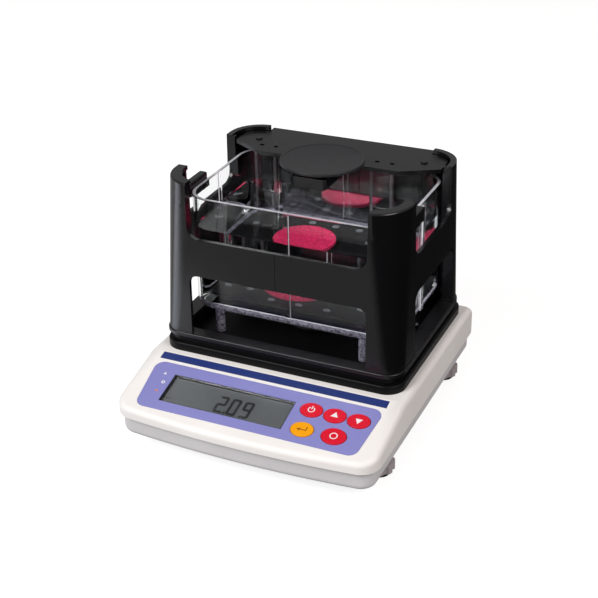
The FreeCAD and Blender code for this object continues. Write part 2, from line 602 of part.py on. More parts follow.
MAIN_BOARD_RIGHT_X = FOOT_X - FOOT_BOSS_RADIUS - MAIN_BOARD_SIDE_GAP
MAIN_BOARD_X = (MAIN_BOARD_RIGHT_X - MAIN_BOARD_WIDTH, MAIN_BOARD_RIGHT_X)
MAIN_BOARD_Y = (MAIN_BOARD_REAR_Y - MAIN_BOARD_DEPTH, MAIN_BOARD_REAR_Y)
MAIN_BOARD_Z = FLOOR_Z + MAIN_BOARD_LIFT
MAIN_BOARD_BOSSES = [(MAIN_BOARD_X[0] + BOARD_BOSS_INSET, MAIN_BOARD_Y[0] + BOARD_BOSS_INSET),
                     (MAIN_BOARD_X[1] - BOARD_BOSS_INSET, MAIN_BOARD_Y[0] + BOARD_BOSS_INSET),
                     (MAIN_BOARD_X[0] + BOARD_BOSS_INSET, MAIN_BOARD_Y[1] - BOARD_BOSS_INSET)]
JACK_X = MAIN_BOARD_RIGHT_X - JACK_BOARD_INSET
JACK_BOARD_TOP_Z = MAIN_BOARD_Z + BOARD_THICKNESS
JACK_AXIS_Z = JACK_BOARD_TOP_Z + JACK_HEIGHT / 2


def build_lower_case():
    case = chassis_prism(CASE_INSET, CASE_BOTTOM_Z, SEAM_Z)
    case = fillet_where(case, CASE_EDGE_RADIUS, lambda e: e.BoundBox.ZMax < CASE_BOTTOM_Z + 0.1)
    inside = chassis_prism(CASE_INSET + SHELL_WALL, FLOOR_Z, SEAM_Z + 1)
    inside = fillet_where(inside, CASE_EDGE_RADIUS - SHELL_WALL, lambda e: e.BoundBox.ZMax < FLOOR_Z + 0.1)
    case = case.cut(inside)
    lip = chassis_prism(SHELL_WALL + LIP_GAP, SEAM_Z - OVERLAP, SEAM_Z + LIP_HEIGHT)
    lip = lip.cut(chassis_prism(CASE_INSET + SHELL_WALL, SEAM_Z - 1, SEAM_Z + LIP_HEIGHT + 1))
    bosses = [cylinder(x, y, FLOOR_Z - OVERLAP, INSERT_TOP_Z, FOOT_BOSS_RADIUS) for x, y in FEET.values()]
    bosses += [cylinder(x, y, FLOOR_Z - OVERLAP, SEAM_Z, SCREW_BOSS_RADIUS) for x, y in CASE_SCREWS]
    bosses += [cylinder(x, y, FLOOR_Z - OVERLAP, PLATE_BOTTOM_Z, PLATE_BOSS_RADIUS) for x, y in PLATE_BOSSES]
    bosses += [cylinder(x, y, FLOOR_Z - OVERLAP, MAIN_BOARD_Z, BOARD_BOSS_RADIUS)
               for x, y in MAIN_BOARD_BOSSES]
    case = case.fuse([lip] + bosses)
    cuts = [cylinder(x, y, CASE_BOTTOM_Z - 1, INSERT_TOP_Z + 1, INSERT_RADIUS + RUNNING_GAP)
            for x, y in FEET.values()]
    cuts += [cylinder(x, y, FLOOR_Z, SEAM_Z, BOARD_SCREW_RADIUS + THREAD_GAP)
             for x, y in PLATE_BOSSES + MAIN_BOARD_BOSSES]
    for x, y in CASE_SCREWS:
        cuts.append(cylinder(x, y, CASE_BOTTOM_Z - 1, CASE_BOTTOM_Z + SCREW_POCKET_DEPTH,
                             SCREW_HEAD_RADIUS + SCREW_HOLE_GAP))
        cuts.append(cylinder(x, y, CASE_BOTTOM_Z, SEAM_Z + 1, SCREW_SHANK_RADIUS + SCREW_HOLE_GAP))
    cuts.append(Part.makeCylinder(JACK_NOSE_RADIUS + SCREW_HOLE_GAP, 2 * SHELL_WALL + 2,
                                  V(JACK_X, CASE_REAR_Y - 2 * SHELL_WALL, JACK_AXIS_Z), V(0, 1, 0)))
    return solid_of(case.cut(cuts))


def build_upper_cover():
    outer = cover_form(0.0, SEAM_Z)

    def top_edge(edge):
        middle = edge.valueAt((edge.FirstParameter + edge.LastParameter) / 2)
        fold = abs(middle.x) < 1 and abs(middle.y) < BASE_DEPTH / 2 - 1
        upright = edge.BoundBox.XLength + edge.BoundBox.YLength < 0.01
        return edge.BoundBox.ZMin > SEAM_Z + 3 and not fold and not upright

    outer = fillet_where(outer, COVER_EDGE_RADIUS, top_edge)
    cover = outer.cut(cover_form(SHELL_WALL, SEAM_Z - 1))
    roof = cover_form(SHELL_WALL - OVERLAP, SEAM_Z)
    bosses = [cylinder(x, y, SEAM_Z + LIP_GAP, TOP_Z, SCREW_BOSS_RADIUS) for x, y in CASE_SCREWS]
    bosses += [cylinder(x, y, TOP_Z - TRAY_BOSS_LENGTH, TOP_Z, SCREW_BOSS_RADIUS) for x, y in TRAY_SCREWS]
    bosses += [on_panel(cylinder(x, y, -KEY_BOARD_DROP, 0.0, KEY_BOARD_BOSS_RADIUS))
               for x, y in KEY_BOARD_BOSSES]
    cover = cover.fuse([boss.common(roof) for boss in bosses])
    cuts = [cylinder(0, SENSOR_Y, SEAM_Z, TOP_Z + 1, SPINDLE_HOLE_RADIUS)]
    thread = SCREW_SHANK_RADIUS + THREAD_GAP
    cuts += [cylinder(x, y, SEAM_Z - 1, CASE_SCREW_TOP_Z + 1, thread) for x, y in CASE_SCREWS]
    cuts += [cylinder(x, y, TOP_Z - TRAY_BOSS_LENGTH + 1, TOP_Z + 1, thread) for x, y in TRAY_SCREWS]
    cuts.append(on_panel(overlay_outline(LIP_GAP, -SHEET_RECESS, 5.0)))
    cuts.append(on_panel(strip_block(LIP_GAP, -SHEET_RECESS, 5.0)))
    cuts.append(on_panel(window_block(0.0, -SHELL_WALL - 3, 5.0)))
    for x, y, half_x, half_y in KEYS.values():
        cuts.append(on_panel(elliptic_prism(x, y, half_x + KEY_GAP, half_y + KEY_GAP, -SHELL_WALL - 3, 5.0)))
    cuts += [on_panel(cylinder(x, y, -KEY_BOARD_DROP - 1, -SHELL_WALL, BOARD_SCREW_RADIUS + THREAD_GAP))
             for x, y in KEY_BOARD_BOSSES]
    return solid_of(cover.cut(cuts))


def build_panel_sheets():
    lift = SHEET_THICKNESS - SHEET_RECESS
    overlay = overlay_outline(0.0, -SHEET_RECESS, lift).cut(window_block(0.0, -5, 5))
    overlay = overlay.cut([elliptic_prism(x, y, a + KEY_GAP, b + KEY_GAP, -5, 5)
                           for x, y, a, b in KEYS.values()])
    return on_panel(overlay), on_panel(strip_block(0.0, -SHEET_RECESS, lift))


def build_display():
    """Frame round the window, clear pane, LCD module."""
    deep = -KEY_BOARD_DROP
    frame = window_block(LIP_GAP / 2, deep, 0.0).cut(window_block(BEZEL_WALL, deep - 1, 1.0))
    seat = window_block(BEZEL_WALL / 2, -WINDOW_PANE_DROP - WINDOW_PANE, 1.0)
    frame = frame.cut(seat)
    pane = window_block(BEZEL_WALL / 2 + LIP_GAP / 2, -WINDOW_PANE_DROP - WINDOW_PANE, -WINDOW_PANE_DROP)
    lcd = window_block(BEZEL_WALL + LIP_GAP, deep, -LCD_DROP)
    return on_panel(solid_of(frame)), on_panel(pane), on_panel(lcd)


def build_key(x, y, half_x, half_y):
    tab_top = -SHELL_WALL - LIP_GAP
    tab_bottom = tab_top - KEY_TAB_THICKNESS
    cap = elliptic_prism(x, y, half_x, half_y, tab_bottom, KEY_PROUD)
    cap = fillet_where(cap, KEY_EDGE_RADIUS, lambda e: e.BoundBox.ZMin > KEY_PROUD - 0.1)
    tab = box(x - KEY_TAB_HALF_WIDTH, x + KEY_TAB_HALF_WIDTH, y - half_y - KEY_TAB_REACH,
              y + half_y + KEY_TAB_REACH, tab_bottom, tab_top)
    stem_end = -KEY_BOARD_DROP + SWITCH_HEIGHT - KEY_STEM_DEPTH
    stem = cylinder(x, y, stem_end, tab_bottom + OVERLAP, KEY_STEM_RADIUS)
    return on_panel(solid_of(cap.fuse([tab, stem])))


def build_key_board():
    top, bottom = -KEY_BOARD_DROP, -KEY_BOARD_DROP - BOARD_THICKNESS
    board = box(KEY_BOARD_X[0], KEY_BOARD_X[1], KEY_BOARD_Y[0], KEY_BOARD_Y[1], bottom, top)
    hole_radius = BOARD_SCREW_RADIUS + SCREW_HOLE_GAP
    holes = [cylinder(x, y, bottom - 1, top + 1, hole_radius) for x, y in KEY_BOARD_BOSSES]
    switches = []
    for x, y, _, _ in KEYS.values():
        half = SWITCH_SIZE / 2
        body = box(x - half, x + half, y - half, y + half, top, top + SWITCH_HEIGHT)
        well_floor = top + SWITCH_HEIGHT - KEY_STEM_DEPTH - KEY_TRAVEL - LIP_GAP
        well = cylinder(x, y, well_floor, top + SWITCH_HEIGHT + 1, KEY_STEM_RADIUS + SWITCH_WELL_GAP)
        switches.append(on_panel(body.cut(well)))
    screws = [on_panel(small_screw(x, y, bottom, -1, KEY_BOARD_SCREW_LENGTH)) for x, y in KEY_BOARD_BOSSES]
    return on_panel(board.cut(holes)), switches, screws


def small_screw(x, y, seat_z, direction, length):
    """A board screw whose head sits on seat_z; direction is the side that the head is on."""
    head_end = seat_z + direction * BOARD_SCREW_HEAD_HEIGHT
    shank_end = seat_z - direction * length
    head = cylinder(x, y, min(seat_z, head_end), max(seat_z, head_end), BOARD_SCREW_HEAD_RADIUS)
    reach = seat_z + direction * OVERLAP
    shank = cylinder(x, y, min(reach, shank_end), max(reach, shank_end), BOARD_SCREW_RADIUS)
    return solid_of(head.fuse(shank))


def build_main_board():
    top = MAIN_BOARD_Z + BOARD_THICKNESS
    board = box(MAIN_BOARD_X[0], MAIN_BOARD_X[1], MAIN_BOARD_Y[0], MAIN_BOARD_Y[1], MAIN_BOARD_Z, top)
    board = board.cut([cylinder(x, y, MAIN_BOARD_Z - 1, top + 1, BOARD_SCREW_RADIUS + SCREW_HOLE_GAP)
                       for x, y in MAIN_BOARD_BOSSES])
    left, front = MAIN_BOARD_X[0], MAIN_BOARD_Y[0]
    parts = [box(left + x, left + x + width, front + y, front + y + depth, top, top + height)
             for x, y, width, depth, height in BOARD_CHIPS]
    parts += [cylinder(left + x, front + y, top, top + CAPACITOR_HEIGHT, CAPACITOR_RADIUS)
              for x, y in CAPACITORS]
    screws = [small_screw(x, y, top, 1, BOARD_THICKNESS + MAIN_BOARD_LIFT - SCREW_HOLE_GAP)
              for x, y in MAIN_BOARD_BOSSES]
    return board, parts, screws


def build_dc_jack():
    front = CASE_REAR_Y - SHELL_WALL - LIP_GAP
    half = JACK_WIDTH / 2
    body = box(JACK_X - half, JACK_X + half, front - JACK_LENGTH, front, JACK_BOARD_TOP_Z,
               JACK_BOARD_TOP_Z + JACK_HEIGHT)
    nose = Part.makeCylinder(JACK_NOSE_RADIUS, SHELL_WALL + LIP_GAP + 1, V(JACK_X, front - 1, JACK_AXIS_Z),
                             V(0, 1, 0))
    bore = Part.makeCylinder(JACK_BORE_RADIUS, JACK_BORE_DEPTH, V(JACK_X, CASE_REAR_Y - JACK_BORE_DEPTH,
                                                                  JACK_AXIS_Z), V(0, 1, 0))
    return solid_of(body.fuse(nose).cut(bore))


def flat_cable(x0, x1, points):
    """A flat cable of constant width that follows a line of points (y, z) in its side view."""
    upper = [V(x0, y, z + CABLE_THICKNESS / 2) for y, z in points]
    lower = [V(x0, y, z - CABLE_THICKNESS / 2) for y, z in reversed(points)]
    return polygon_face(upper + lower).extrude(V(x1 - x0, 0, 0))


def build_cables():
    board_edge = PANEL.multVec(V(0, KEY_BOARD_Y[1], -KEY_BOARD_DROP - BOARD_THICKNESS))
    board_z = MAIN_BOARD_Z + BOARD_THICKNESS
    end_z = board_z + CABLE_THICKNESS / 2 + CABLE_END_GAP
    start = board_edge.z - 2 * CABLE_THICKNESS
    left = MAIN_BOARD_X[0] + RIBBON_BOARD_INSET
    ribbon = flat_cable(left, left + RIBBON_WIDTH, [
        (board_edge.y - RIBBON_FRONT_RUN, start - CABLE_THICKNESS),
        (board_edge.y + RIBBON_FRONT_RUN, start - CABLE_THICKNESS / 4),
        (CELL_FRONT_Y + SENSOR_CABLE_WIDTH, board_z + RIBBON_HEIGHT),
        (MAIN_BOARD_Y[0] - RIBBON_HEIGHT, board_z + RIBBON_HEIGHT), (MAIN_BOARD_Y[0] + RIBBON_REACH, end_z)])
    inner = MAIN_BOARD_X[0] + SENSOR_CABLE_INSET
    sensor_z = CELL_BOTTOM_Z + CELL_HEIGHT / 2
    middle_y = SENSOR_Y + SENSOR_CABLE_SPINDLE_GAP
    half = SENSOR_CABLE_WIDTH / 2
    side = box(CELL_HALF_WIDTH, inner + SENSOR_CABLE_WIDTH, middle_y - half, middle_y + half, sensor_z,
               sensor_z + CABLE_THICKNESS)
    tail = flat_cable(inner, inner + SENSOR_CABLE_WIDTH, [
        (middle_y, sensor_z + CABLE_THICKNESS / 2), (middle_y + SENSOR_CABLE_RUN, sensor_z + CABLE_THICKNESS / 2),
        (MAIN_BOARD_Y[0] + SENSOR_CABLE_REACH - RIBBON_HEIGHT, board_z + RIBBON_HEIGHT),
        (MAIN_BOARD_Y[0] + SENSOR_CABLE_REACH, end_z)])
    return solid_of(ribbon), solid_of(side.fuse(tail))


# ================================================================ feet
def build_foot(x, y):
    """Thumb wheel with its stud, and the rubber pad that the wheel turns on."""
    top = WHEEL_BOTTOM_Z + WHEEL_HEIGHT
    wheel = cylinder(x, y, WHEEL_BOTTOM_Z, top, WHEEL_RADIUS)
    offset = WHEEL_RADIUS + LOBE_CUT_OFFSET
    scallops = [cylinder(x + offset * math.cos(2 * math.pi * i / WHEEL_LOBES),
                         y + offset * math.sin(2 * math.pi * i / WHEEL_LOBES),
                         WHEEL_BOTTOM_Z - 1, top + 1, LOBE_CUT_RADIUS) for i in range(WHEEL_LOBES)]
    wheel = wheel.cut(scallops)
    stud = cylinder(x, y, top - OVERLAP, STUD_TOP_Z, STUD_RADIUS)
    socket = cylinder(x, y, WHEEL_BOTTOM_Z - 1, PAD_HEIGHT + PIVOT_HEIGHT + PIVOT_END_GAP,
                      PIVOT_RADIUS + RUNNING_GAP)
    pad = cylinder(x, y, 0, PAD_HEIGHT, PAD_RADIUS)
    pad = fillet_where(pad, 1.0, lambda e: e.BoundBox.ZMax < 0.1 and e.BoundBox.XLength > PAD_RADIUS)
    pivot = cylinder(x, y, PAD_HEIGHT - OVERLAP, PAD_HEIGHT + PIVOT_HEIGHT, PIVOT_RADIUS)
    return solid_of(wheel.fuse(stud).cut(socket)), solid_of(pad.fuse(pivot))


def build_foot_inserts():
    return [cylinder(x, y, CASE_BOTTOM_Z + INSERT_SINK, INSERT_TOP_Z, INSERT_RADIUS).cut(
        cylinder(x, y, CASE_BOTTOM_Z, INSERT_TOP_Z + 1, STUD_RADIUS + RUNNING_GAP)) for x, y in FEET.values()]


def build_case_screws():
    seat = CASE_BOTTOM_Z + SCREW_POCKET_DEPTH
    return [solid_of(cylinder(x, y, seat - SCREW_HEAD_HEIGHT, seat, SCREW_HEAD_RADIUS).fuse(
        cylinder(x, y, seat - OVERLAP, CASE_SCREW_TOP_Z, SCREW_SHANK_RADIUS))) for x, y in CASE_SCREWS]


# ================================================================ weighing mechanism
def build_load_cell():
    top = CELL_BOTTOM_Z + CELL_HEIGHT
    cell = box(-CELL_HALF_WIDTH, CELL_HALF_WIDTH, CELL_FRONT_Y, CELL_REAR_Y, CELL_BOTTOM_Z, top)
    middle_y = (CELL_FRONT_Y + CELL_REAR_Y) / 2
    middle_z = CELL_BOTTOM_Z + CELL_HEIGHT / 2
    holes = [Part.makeCylinder(CELL_HOLE_RADIUS, 2 * CELL_HALF_WIDTH + 2,
                               V(-CELL_HALF_WIDTH - 1, middle_y + side * CELL_HOLE_PITCH, middle_z), V(1, 0, 0))
             for side in (-1, 1)]
    slot = box(-CELL_HALF_WIDTH - 1, CELL_HALF_WIDTH + 1, middle_y - CELL_HOLE_PITCH,
               middle_y + CELL_HOLE_PITCH, middle_z - CELL_SLOT_HEIGHT / 2, middle_z + CELL_SLOT_HEIGHT / 2)
    return solid_of(cell.cut(holes + [slot]))


def build_cell_plate():
    top = PLATE_BOTTOM_Z + PLATE_THICKNESS
    plate = rounded_block(-PLATE_HALF_WIDTH, PLATE_HALF_WIDTH, CELL_FRONT_Y - PLATE_MARGIN,
                          CELL_REAR_Y + PLATE_MARGIN, PLATE_BOTTOM_Z, top, 4.0)
    foot = box(-CELL_HALF_WIDTH, CELL_HALF_WIDTH, CELL_FRONT_Y, CELL_FRONT_Y + CELL_FOOT_LENGTH,
               top - OVERLAP, CELL_BOTTOM_Z)
    plate = plate.fuse(foot)
    plate = plate.cut([cylinder(x, y, PLATE_BOTTOM_Z - 1, top + 1, BOARD_SCREW_RADIUS + SCREW_HOLE_GAP)
                       for x, y in PLATE_BOSSES])
    length = PLATE_THICKNESS + PLATE_BOTTOM_Z - FLOOR_Z - SCREW_HOLE_GAP
    screws = [small_screw(x, y, top, 1, length) for x, y in PLATE_BOSSES]
    stop = cylinder(0, SENSOR_Y, top, CELL_BOTTOM_Z - STOP_GAP, STOP_RADIUS)
    return solid_of(plate), screws, stop


def build_spindle():
    top = CELL_BOTTOM_Z + CELL_HEIGHT
    post = cylinder(0, SENSOR_Y, top, PLATFORM_Z, SPINDLE_RADIUS)
    flange = cylinder(0, SENSOR_Y, PLATFORM_Z - SPINDLE_FLANGE_HEIGHT, PLATFORM_Z, SPINDLE_FLANGE_RADIUS)
    return solid_of(post.fuse(flange))


def build_platform():
    top = PLATFORM_Z + PLATFORM_THICKNESS
    hub = cylinder(0, SENSOR_Y, PLATFORM_Z, top, PLATFORM_HUB_RADIUS)
    spine = box(-PLATFORM_SPINE_HALF_WIDTH, PLATFORM_SPINE_HALF_WIDTH, SENSOR_Y, PLATFORM_BAR_FRONT_Y + 1,
                PLATFORM_Z, top)
    bar = rounded_block(-PLATFORM_BAR_HALF_LENGTH, PLATFORM_BAR_HALF_LENGTH, PLATFORM_BAR_FRONT_Y, LEG_REAR_Y,
                        PLATFORM_Z, top, PLATFORM_BAR_CORNER)
    pegs = [cylinder(side * LEG_X, (LEG_FRONT_Y + LEG_REAR_Y) / 2, top - OVERLAP, top + PEG_HEIGHT, PEG_RADIUS)
            for side in (-1, 1)]
    return solid_of(hub.fuse([spine, bar] + pegs))


# ================================================================ tray and frame
def plan_block(inset, z0, z1, front_radius, rear_radius):
    """Block with the tray's plan outline moved in by inset, and corners of two radii."""
    block = box(-TRAY_HALF_WIDTH + inset, TRAY_HALF_WIDTH - inset, TRAY_FRONT_Y + inset,
                TRAY_REAR_Y - inset, z0, z1)
    for radius, side in ((front_radius, -1), (rear_radius, 1)):
        upright = [e for e in block.Edges if e.BoundBox.ZLength > 0.5 * (z1 - z0)
                   and side * (e.BoundBox.Center.y - SEAM_Y) > 0]
        block = block.makeFillet(radius, upright)
    return block


def build_tray():
    plate_top = TOP_Z + TRAY_PLATE_HEIGHT
    plate = plan_block(0.0, TOP_Z, plate_top, TRAY_CORNER_RADIUS, TRAY_CORNER_RADIUS)
    plate = fillet_where(plate, TRAY_EDGE_RADIUS, lambda e: e.BoundBox.ZMin > plate_top - 0.1)
    neck_radius = TRAY_CORNER_RADIUS - TRAY_NECK_INSET
    block = plate.fuse(plan_block(TRAY_NECK_INSET, TOP_Z, TRAY_TOP_Z, neck_radius, neck_radius))
    recess = rounded_block(-RECESS_HALF_WIDTH, RECESS_HALF_WIDTH, RECESS_FRONT_Y, RECESS_REAR_Y,
                           RECESS_FLOOR_Z, TRAY_TOP_Z + 5, RECESS_CORNER_RADIUS)
    relief = rounded_block(-TRAY_HALF_WIDTH + TRAY_RIM, TRAY_HALF_WIDTH - TRAY_RIM, TRAY_FRONT_Y + TRAY_RIM,
                           TRAY_REAR_Y - TRAY_RIM, TOP_Z - 1, RECESS_FLOOR_Z - TRAY_FLOOR, TRAY_CORNER_RADIUS / 2)
    posts = [cylinder(x, y, TOP_Z, RECESS_FLOOR_Z - TRAY_FLOOR + OVERLAP, SCREW_BOSS_RADIUS)
             for x, y in TRAY_SCREWS]
    cuts = [cylinder(0, SENSOR_Y, TOP_Z - 1, RECESS_FLOOR_Z + 1, SPINDLE_HOLE_RADIUS)]
    cuts += [cylinder(x, y, TOP_Z - 1, RECESS_FLOOR_Z + 1, SCREW_SHANK_RADIUS + SCREW_HOLE_GAP)
             for x, y in TRAY_SCREWS]
    cuts += [frame_screw_hole(side * x, y) for side in (-1, 1) for x, y in FRAME_SCREW_PLACES]
    return solid_of(block.cut([recess, relief]).fuse(posts).cut(cuts))


def frame_screw_hole(x, y):
    """Stepped hole for a frame screw that goes up through the tray's side wall."""
    seat = TOP_Z + FRAME_SCREW_HEAD_HEIGHT + FRAME_SCREW_SINK
    return cylinder(x, y, TOP_Z - 1, seat, FRAME_SCREW_HEAD_RADIUS + SCREW_HOLE_GAP).fuse(
        cylinder(x, y, seat - 1, TRAY_TOP_Z + 1, FRAME_SCREW_RADIUS + SCREW_HOLE_GAP))


def build_frame_screws():
    seat = TOP_Z + FRAME_SCREW_HEAD_HEIGHT + FRAME_SCREW_SINK
    screws = []
    for side in (-1, 1):
        for x, y in FRAME_SCREW_PLACES:
            head = cylinder(side * x, y, seat - FRAME_SCREW_HEAD_HEIGHT, seat, FRAME_SCREW_HEAD_RADIUS)
            shank = cylinder(side * x, y, seat - OVERLAP, TRAY_TOP_Z + FRAME_SCREW_BITE, FRAME_SCREW_RADIUS)
            screws.append(solid_of(head.fuse(shank)))
    return screws


def build_tray_screws():
    head_top = RECESS_FLOOR_Z + SCREW_HEAD_HEIGHT
    shank_end = TOP_Z - TRAY_SCREW_DEPTH
    return [solid_of(cylinder(x, y, RECESS_FLOOR_Z, head_top, TRAY_SCREW_HEAD_RADIUS).fuse(
        cylinder(x, y, shank_end, RECESS_FLOOR_Z + OVERLAP, SCREW_SHANK_RADIUS))) for x, y in TRAY_SCREWS]


def at_height(foot_and_top, z):
    """A size of the frame at height z."""
    foot, top = foot_and_top
    return foot + (top - foot) * (z - TRAY_TOP_Z) / POST_HEIGHT


def inner_inset(z):
    """How far the inner face of the frame is from the side of the tray."""
    return at_height(FRAME_STEPS, z) + FRAME_WALL


def frame_prism(inset, z0, z1, outline_z):
    """Straight block with the frame's plan outline at outline_z, moved in by inset."""
    return plan_block(at_height(FRAME_STEPS, outline_z) + inset, z0, z1,
                      at_height(FRAME_FRONT_RADII, outline_z) - inset,
                      at_height(FRAME_REAR_RADII, outline_z) - inset)


def drafted_block(inset, z0, z1):
    """Block that follows the frame's outline as it narrows from z0 to z1, moved in by inset."""
    ends = []
    for z in (z0, z1):
        slab = frame_prism(inset, z, z + 1, z)
        ends.append(min(slab.Faces, key=lambda face: face.CenterOfMass.z).OuterWire)
    return Part.makeLoft(ends, True, True)


def window_prism(along_x, low, high, z0, z1, bottom_radius, top_radius):
    """A window through a wall, rounded at its bottom or top corners; along_x cuts the side walls."""
    reach = 2 * TRAY_HALF_WIDTH
    block = box(-reach, reach, low, high, z0, z1) if along_x else box(low, high, -reach, 0, z0, z1)
    size = block.BoundBox

    def corner(z):
        return [e for e in block.Edges if abs(e.BoundBox.Center.z - z) < 0.01
                and (e.BoundBox.XLength if along_x else e.BoundBox.YLength) > reach - 1]

    edges = []
    if bottom_radius:
        edges = corner(size.ZMin)
    if top_radius:
        edges = corner(size.ZMax)
    return block.makeFillet(bottom_radius or top_radius, edges)


def build_frame():
    """The whole frame as one ring, then split at the seams into its four corner pieces."""
    base = TRAY_TOP_Z
    walls = drafted_block(0.0, base, POST_TOP_Z)

    def top_rim(edge):
        return edge.BoundBox.ZMin > POST_TOP_Z - 0.1

    walls = fillet_where(walls, POST_EDGE_RADIUS, top_rim)
    walls = walls.cut(drafted_block(FRAME_WALL, base - 1, POST_TOP_Z + 1))
    ledge = ledge_ring(FRONT_LEDGE_WIDTH, POST_TOP_Z).common(box(-FAR, FAR, -FAR, SEAM_Y, 0, FAR))
    rear_ledge = ledge_ring(REAR_LEDGE_WIDTH, REAR_POST_TOP_Z).common(box(-FAR, FAR, SEAM_Y, FAR, 0, FAR))
    root = at_height(FRAME_STEPS, POST_TOP_Z) + LIP_ROOT
    tip = inner_inset(POST_TOP_Z) + LIP_REACH
    outer_x, inner_x = TRAY_HALF_WIDTH - root, TRAY_HALF_WIDTH - tip
    lip_foot = BELT_TOP_Z - LIP_RUN
    lips = []
    for lip in (
            box(FRONT_WINDOW_HALF_WIDTH, FRONT_WINDOW_HALF_WIDTH + LIP_THICKNESS, TRAY_FRONT_Y + root,
                TRAY_FRONT_Y + tip, lip_foot, POST_TOP_Z - 1),
            box(inner_x, outer_x, SIDE_WINDOW_FRONT_Y - LIP_THICKNESS, SIDE_WINDOW_FRONT_Y, lip_foot,
                POST_TOP_Z - 1),
            box(inner_x, outer_x, SIDE_NOTCH_REAR_Y, SIDE_NOTCH_REAR_Y + LIP_THICKNESS, lip_foot,
                REAR_POST_TOP_Z - 1),
            box(inner_x, outer_x, SIDE_WINDOW_REAR_Y, SIDE_WINDOW_REAR_Y + LIP_THICKNESS, base,
                BELT_BOTTOM_Z + LIP_RUN)):
        lips += both_sides(lip)
    ring = walls.fuse([ledge, rear_ledge] + lips)
    flange_bottom = base + FLANGE_HEIGHT
    high = POST_TOP_Z + BELT_HEIGHT
    ring = ring.cut([
        window_prism(False, -FRONT_WINDOW_HALF_WIDTH, FRONT_WINDOW_HALF_WIDTH, flange_bottom, BELT_BOTTOM_Z,
                     0, WINDOW_CORNER_RADIUS),
        window_prism(False, -FRONT_WINDOW_HALF_WIDTH, FRONT_WINDOW_HALF_WIDTH, BELT_TOP_Z, high,
                     NOTCH_CORNER_RADIUS, 0),
        window_prism(True, SIDE_WINDOW_FRONT_Y, SIDE_WINDOW_REAR_Y, flange_bottom, BELT_BOTTOM_Z,
                     0, WINDOW_CORNER_RADIUS),
        window_prism(True, SIDE_WINDOW_FRONT_Y, SIDE_NOTCH_REAR_Y, BELT_TOP_Z, high, NOTCH_CORNER_RADIUS, 0),
        box(-FAR, FAR, SEAM_Y, FAR, REAR_POST_TOP_Z, high),
        box(-REAR_RIM_X, REAR_RIM_X, SEAM_Y, FAR, REAR_WALL_TOP_Z, high)])
    flange = plan_block(FLANGE_INSET, base, flange_bottom, TRAY_CORNER_RADIUS, FLANGE_REAR_RADIUS)
    flange = fillet_where(flange, FLANGE_EDGE_RADIUS, lambda e: e.BoundBox.ZMin > flange_bottom - 0.1)
    flange = flange.cut(rounded_block(-RECESS_HALF_WIDTH, RECESS_HALF_WIDTH, RECESS_FRONT_Y, RECESS_REAR_Y,
                                      base - 1, flange_bottom + 1, RECESS_CORNER_RADIUS))
    ring = ring.fuse(flange)
    ring = ring.cut([cylinder(side * x, y, base - 1, seat_top(), FRAME_SCREW_RADIUS + THREAD_GAP)
                     for side in (-1, 1) for x, y in FRAME_SCREW_PLACES])
    return {name: corner_piece(ring, sx, sy) for name, sx, sy in (
        ("frame_front_left", -1, -1), ("frame_front_right", 1, -1),
        ("frame_rear_left", -1, 1), ("frame_rear_right", 1, 1))}


def ledge_ring(width, top_z):
    """Ledge that thickens the top of the frame inwards."""
    ring = frame_prism(FRAME_WALL - OVERLAP, top_z - LEDGE_THICKNESS, top_z, top_z)
    return ring.cut(frame_prism(FRAME_WALL + width, top_z - 2 * LEDGE_THICKNESS, top_z + 1, top_z))


def seat_top():
    """Height of the end of a frame screw."""
    return TRAY_TOP_Z + FRAME_SCREW_BITE + 0.3


def corner_piece(ring, side_x, side_y):
    """One quarter of the frame, with a lap tab behind each seam that it reaches first."""
    half_gap = SEAM_GAP / 2
    x0, x1 = (half_gap, FAR) if side_x > 0 else (-FAR, -half_gap)
    y0, y1 = (SEAM_Y + half_gap, FAR) if side_y > 0 else (-FAR, SEAM_Y - half_gap)
    quarter = ring.common(box(x0, x1, y0, y1, 0, FAR))
    if side_y < 0 and side_x > 0:
        quarter = quarter.fuse(lap_tab(TRAY_FRONT_Y, 1, BELT_TOP_Z))
    if side_y > 0 and side_x > 0:
        quarter = quarter.fuse(lap_tab(TRAY_REAR_Y, -1, REAR_WALL_TOP_Z))
    if side_y > 0:
        z0, z1 = BELT_BOTTOM_Z + LAP_EDGE_INSET, BELT_TOP_Z - LAP_EDGE_INSET
        tab_x = TRAY_HALF_WIDTH - inner_inset(z1) - LAP_GAP
        wall_x = TRAY_HALF_WIDTH - inner_inset(z0)
        tab = box(tab_x - LAP_THICKNESS, tab_x, SEAM_Y - LAP_LENGTH, SEAM_Y + LAP_LENGTH, z0, z1)
        root = box(tab_x - OVERLAP, wall_x + OVERLAP, SEAM_Y + LAP_ROOT_START, SEAM_Y + LAP_LENGTH, z0, z1)
        tab = tab.fuse(root)
        quarter = quarter.fuse(tab if side_x > 0 else mirrored_x(tab))
    return solid_of(quarter)


def lap_tab(side_y, inward, wall_top_z):
    """Tab behind the seam in the middle of the front or rear wall, rooted in the right-hand piece."""
    z0, z1 = max(BELT_BOTTOM_Z, wall_top_z - LAP_MAX_HEIGHT) + LAP_EDGE_INSET, wall_top_z - LAP_EDGE_INSET
    near = side_y + inward * (inner_inset(z1) + LAP_GAP)
    far = near + inward * LAP_THICKNESS
    tab = box(-LAP_LENGTH, LAP_LENGTH, min(near, far), max(near, far), z0, z1)
    back = side_y + inward * (inner_inset(z0) - OVERLAP)
    front = near + inward * OVERLAP
    root = box(LAP_ROOT_START, LAP_LENGTH, min(back, front), max(back, front), z0, z1)
    return tab.fuse(root)


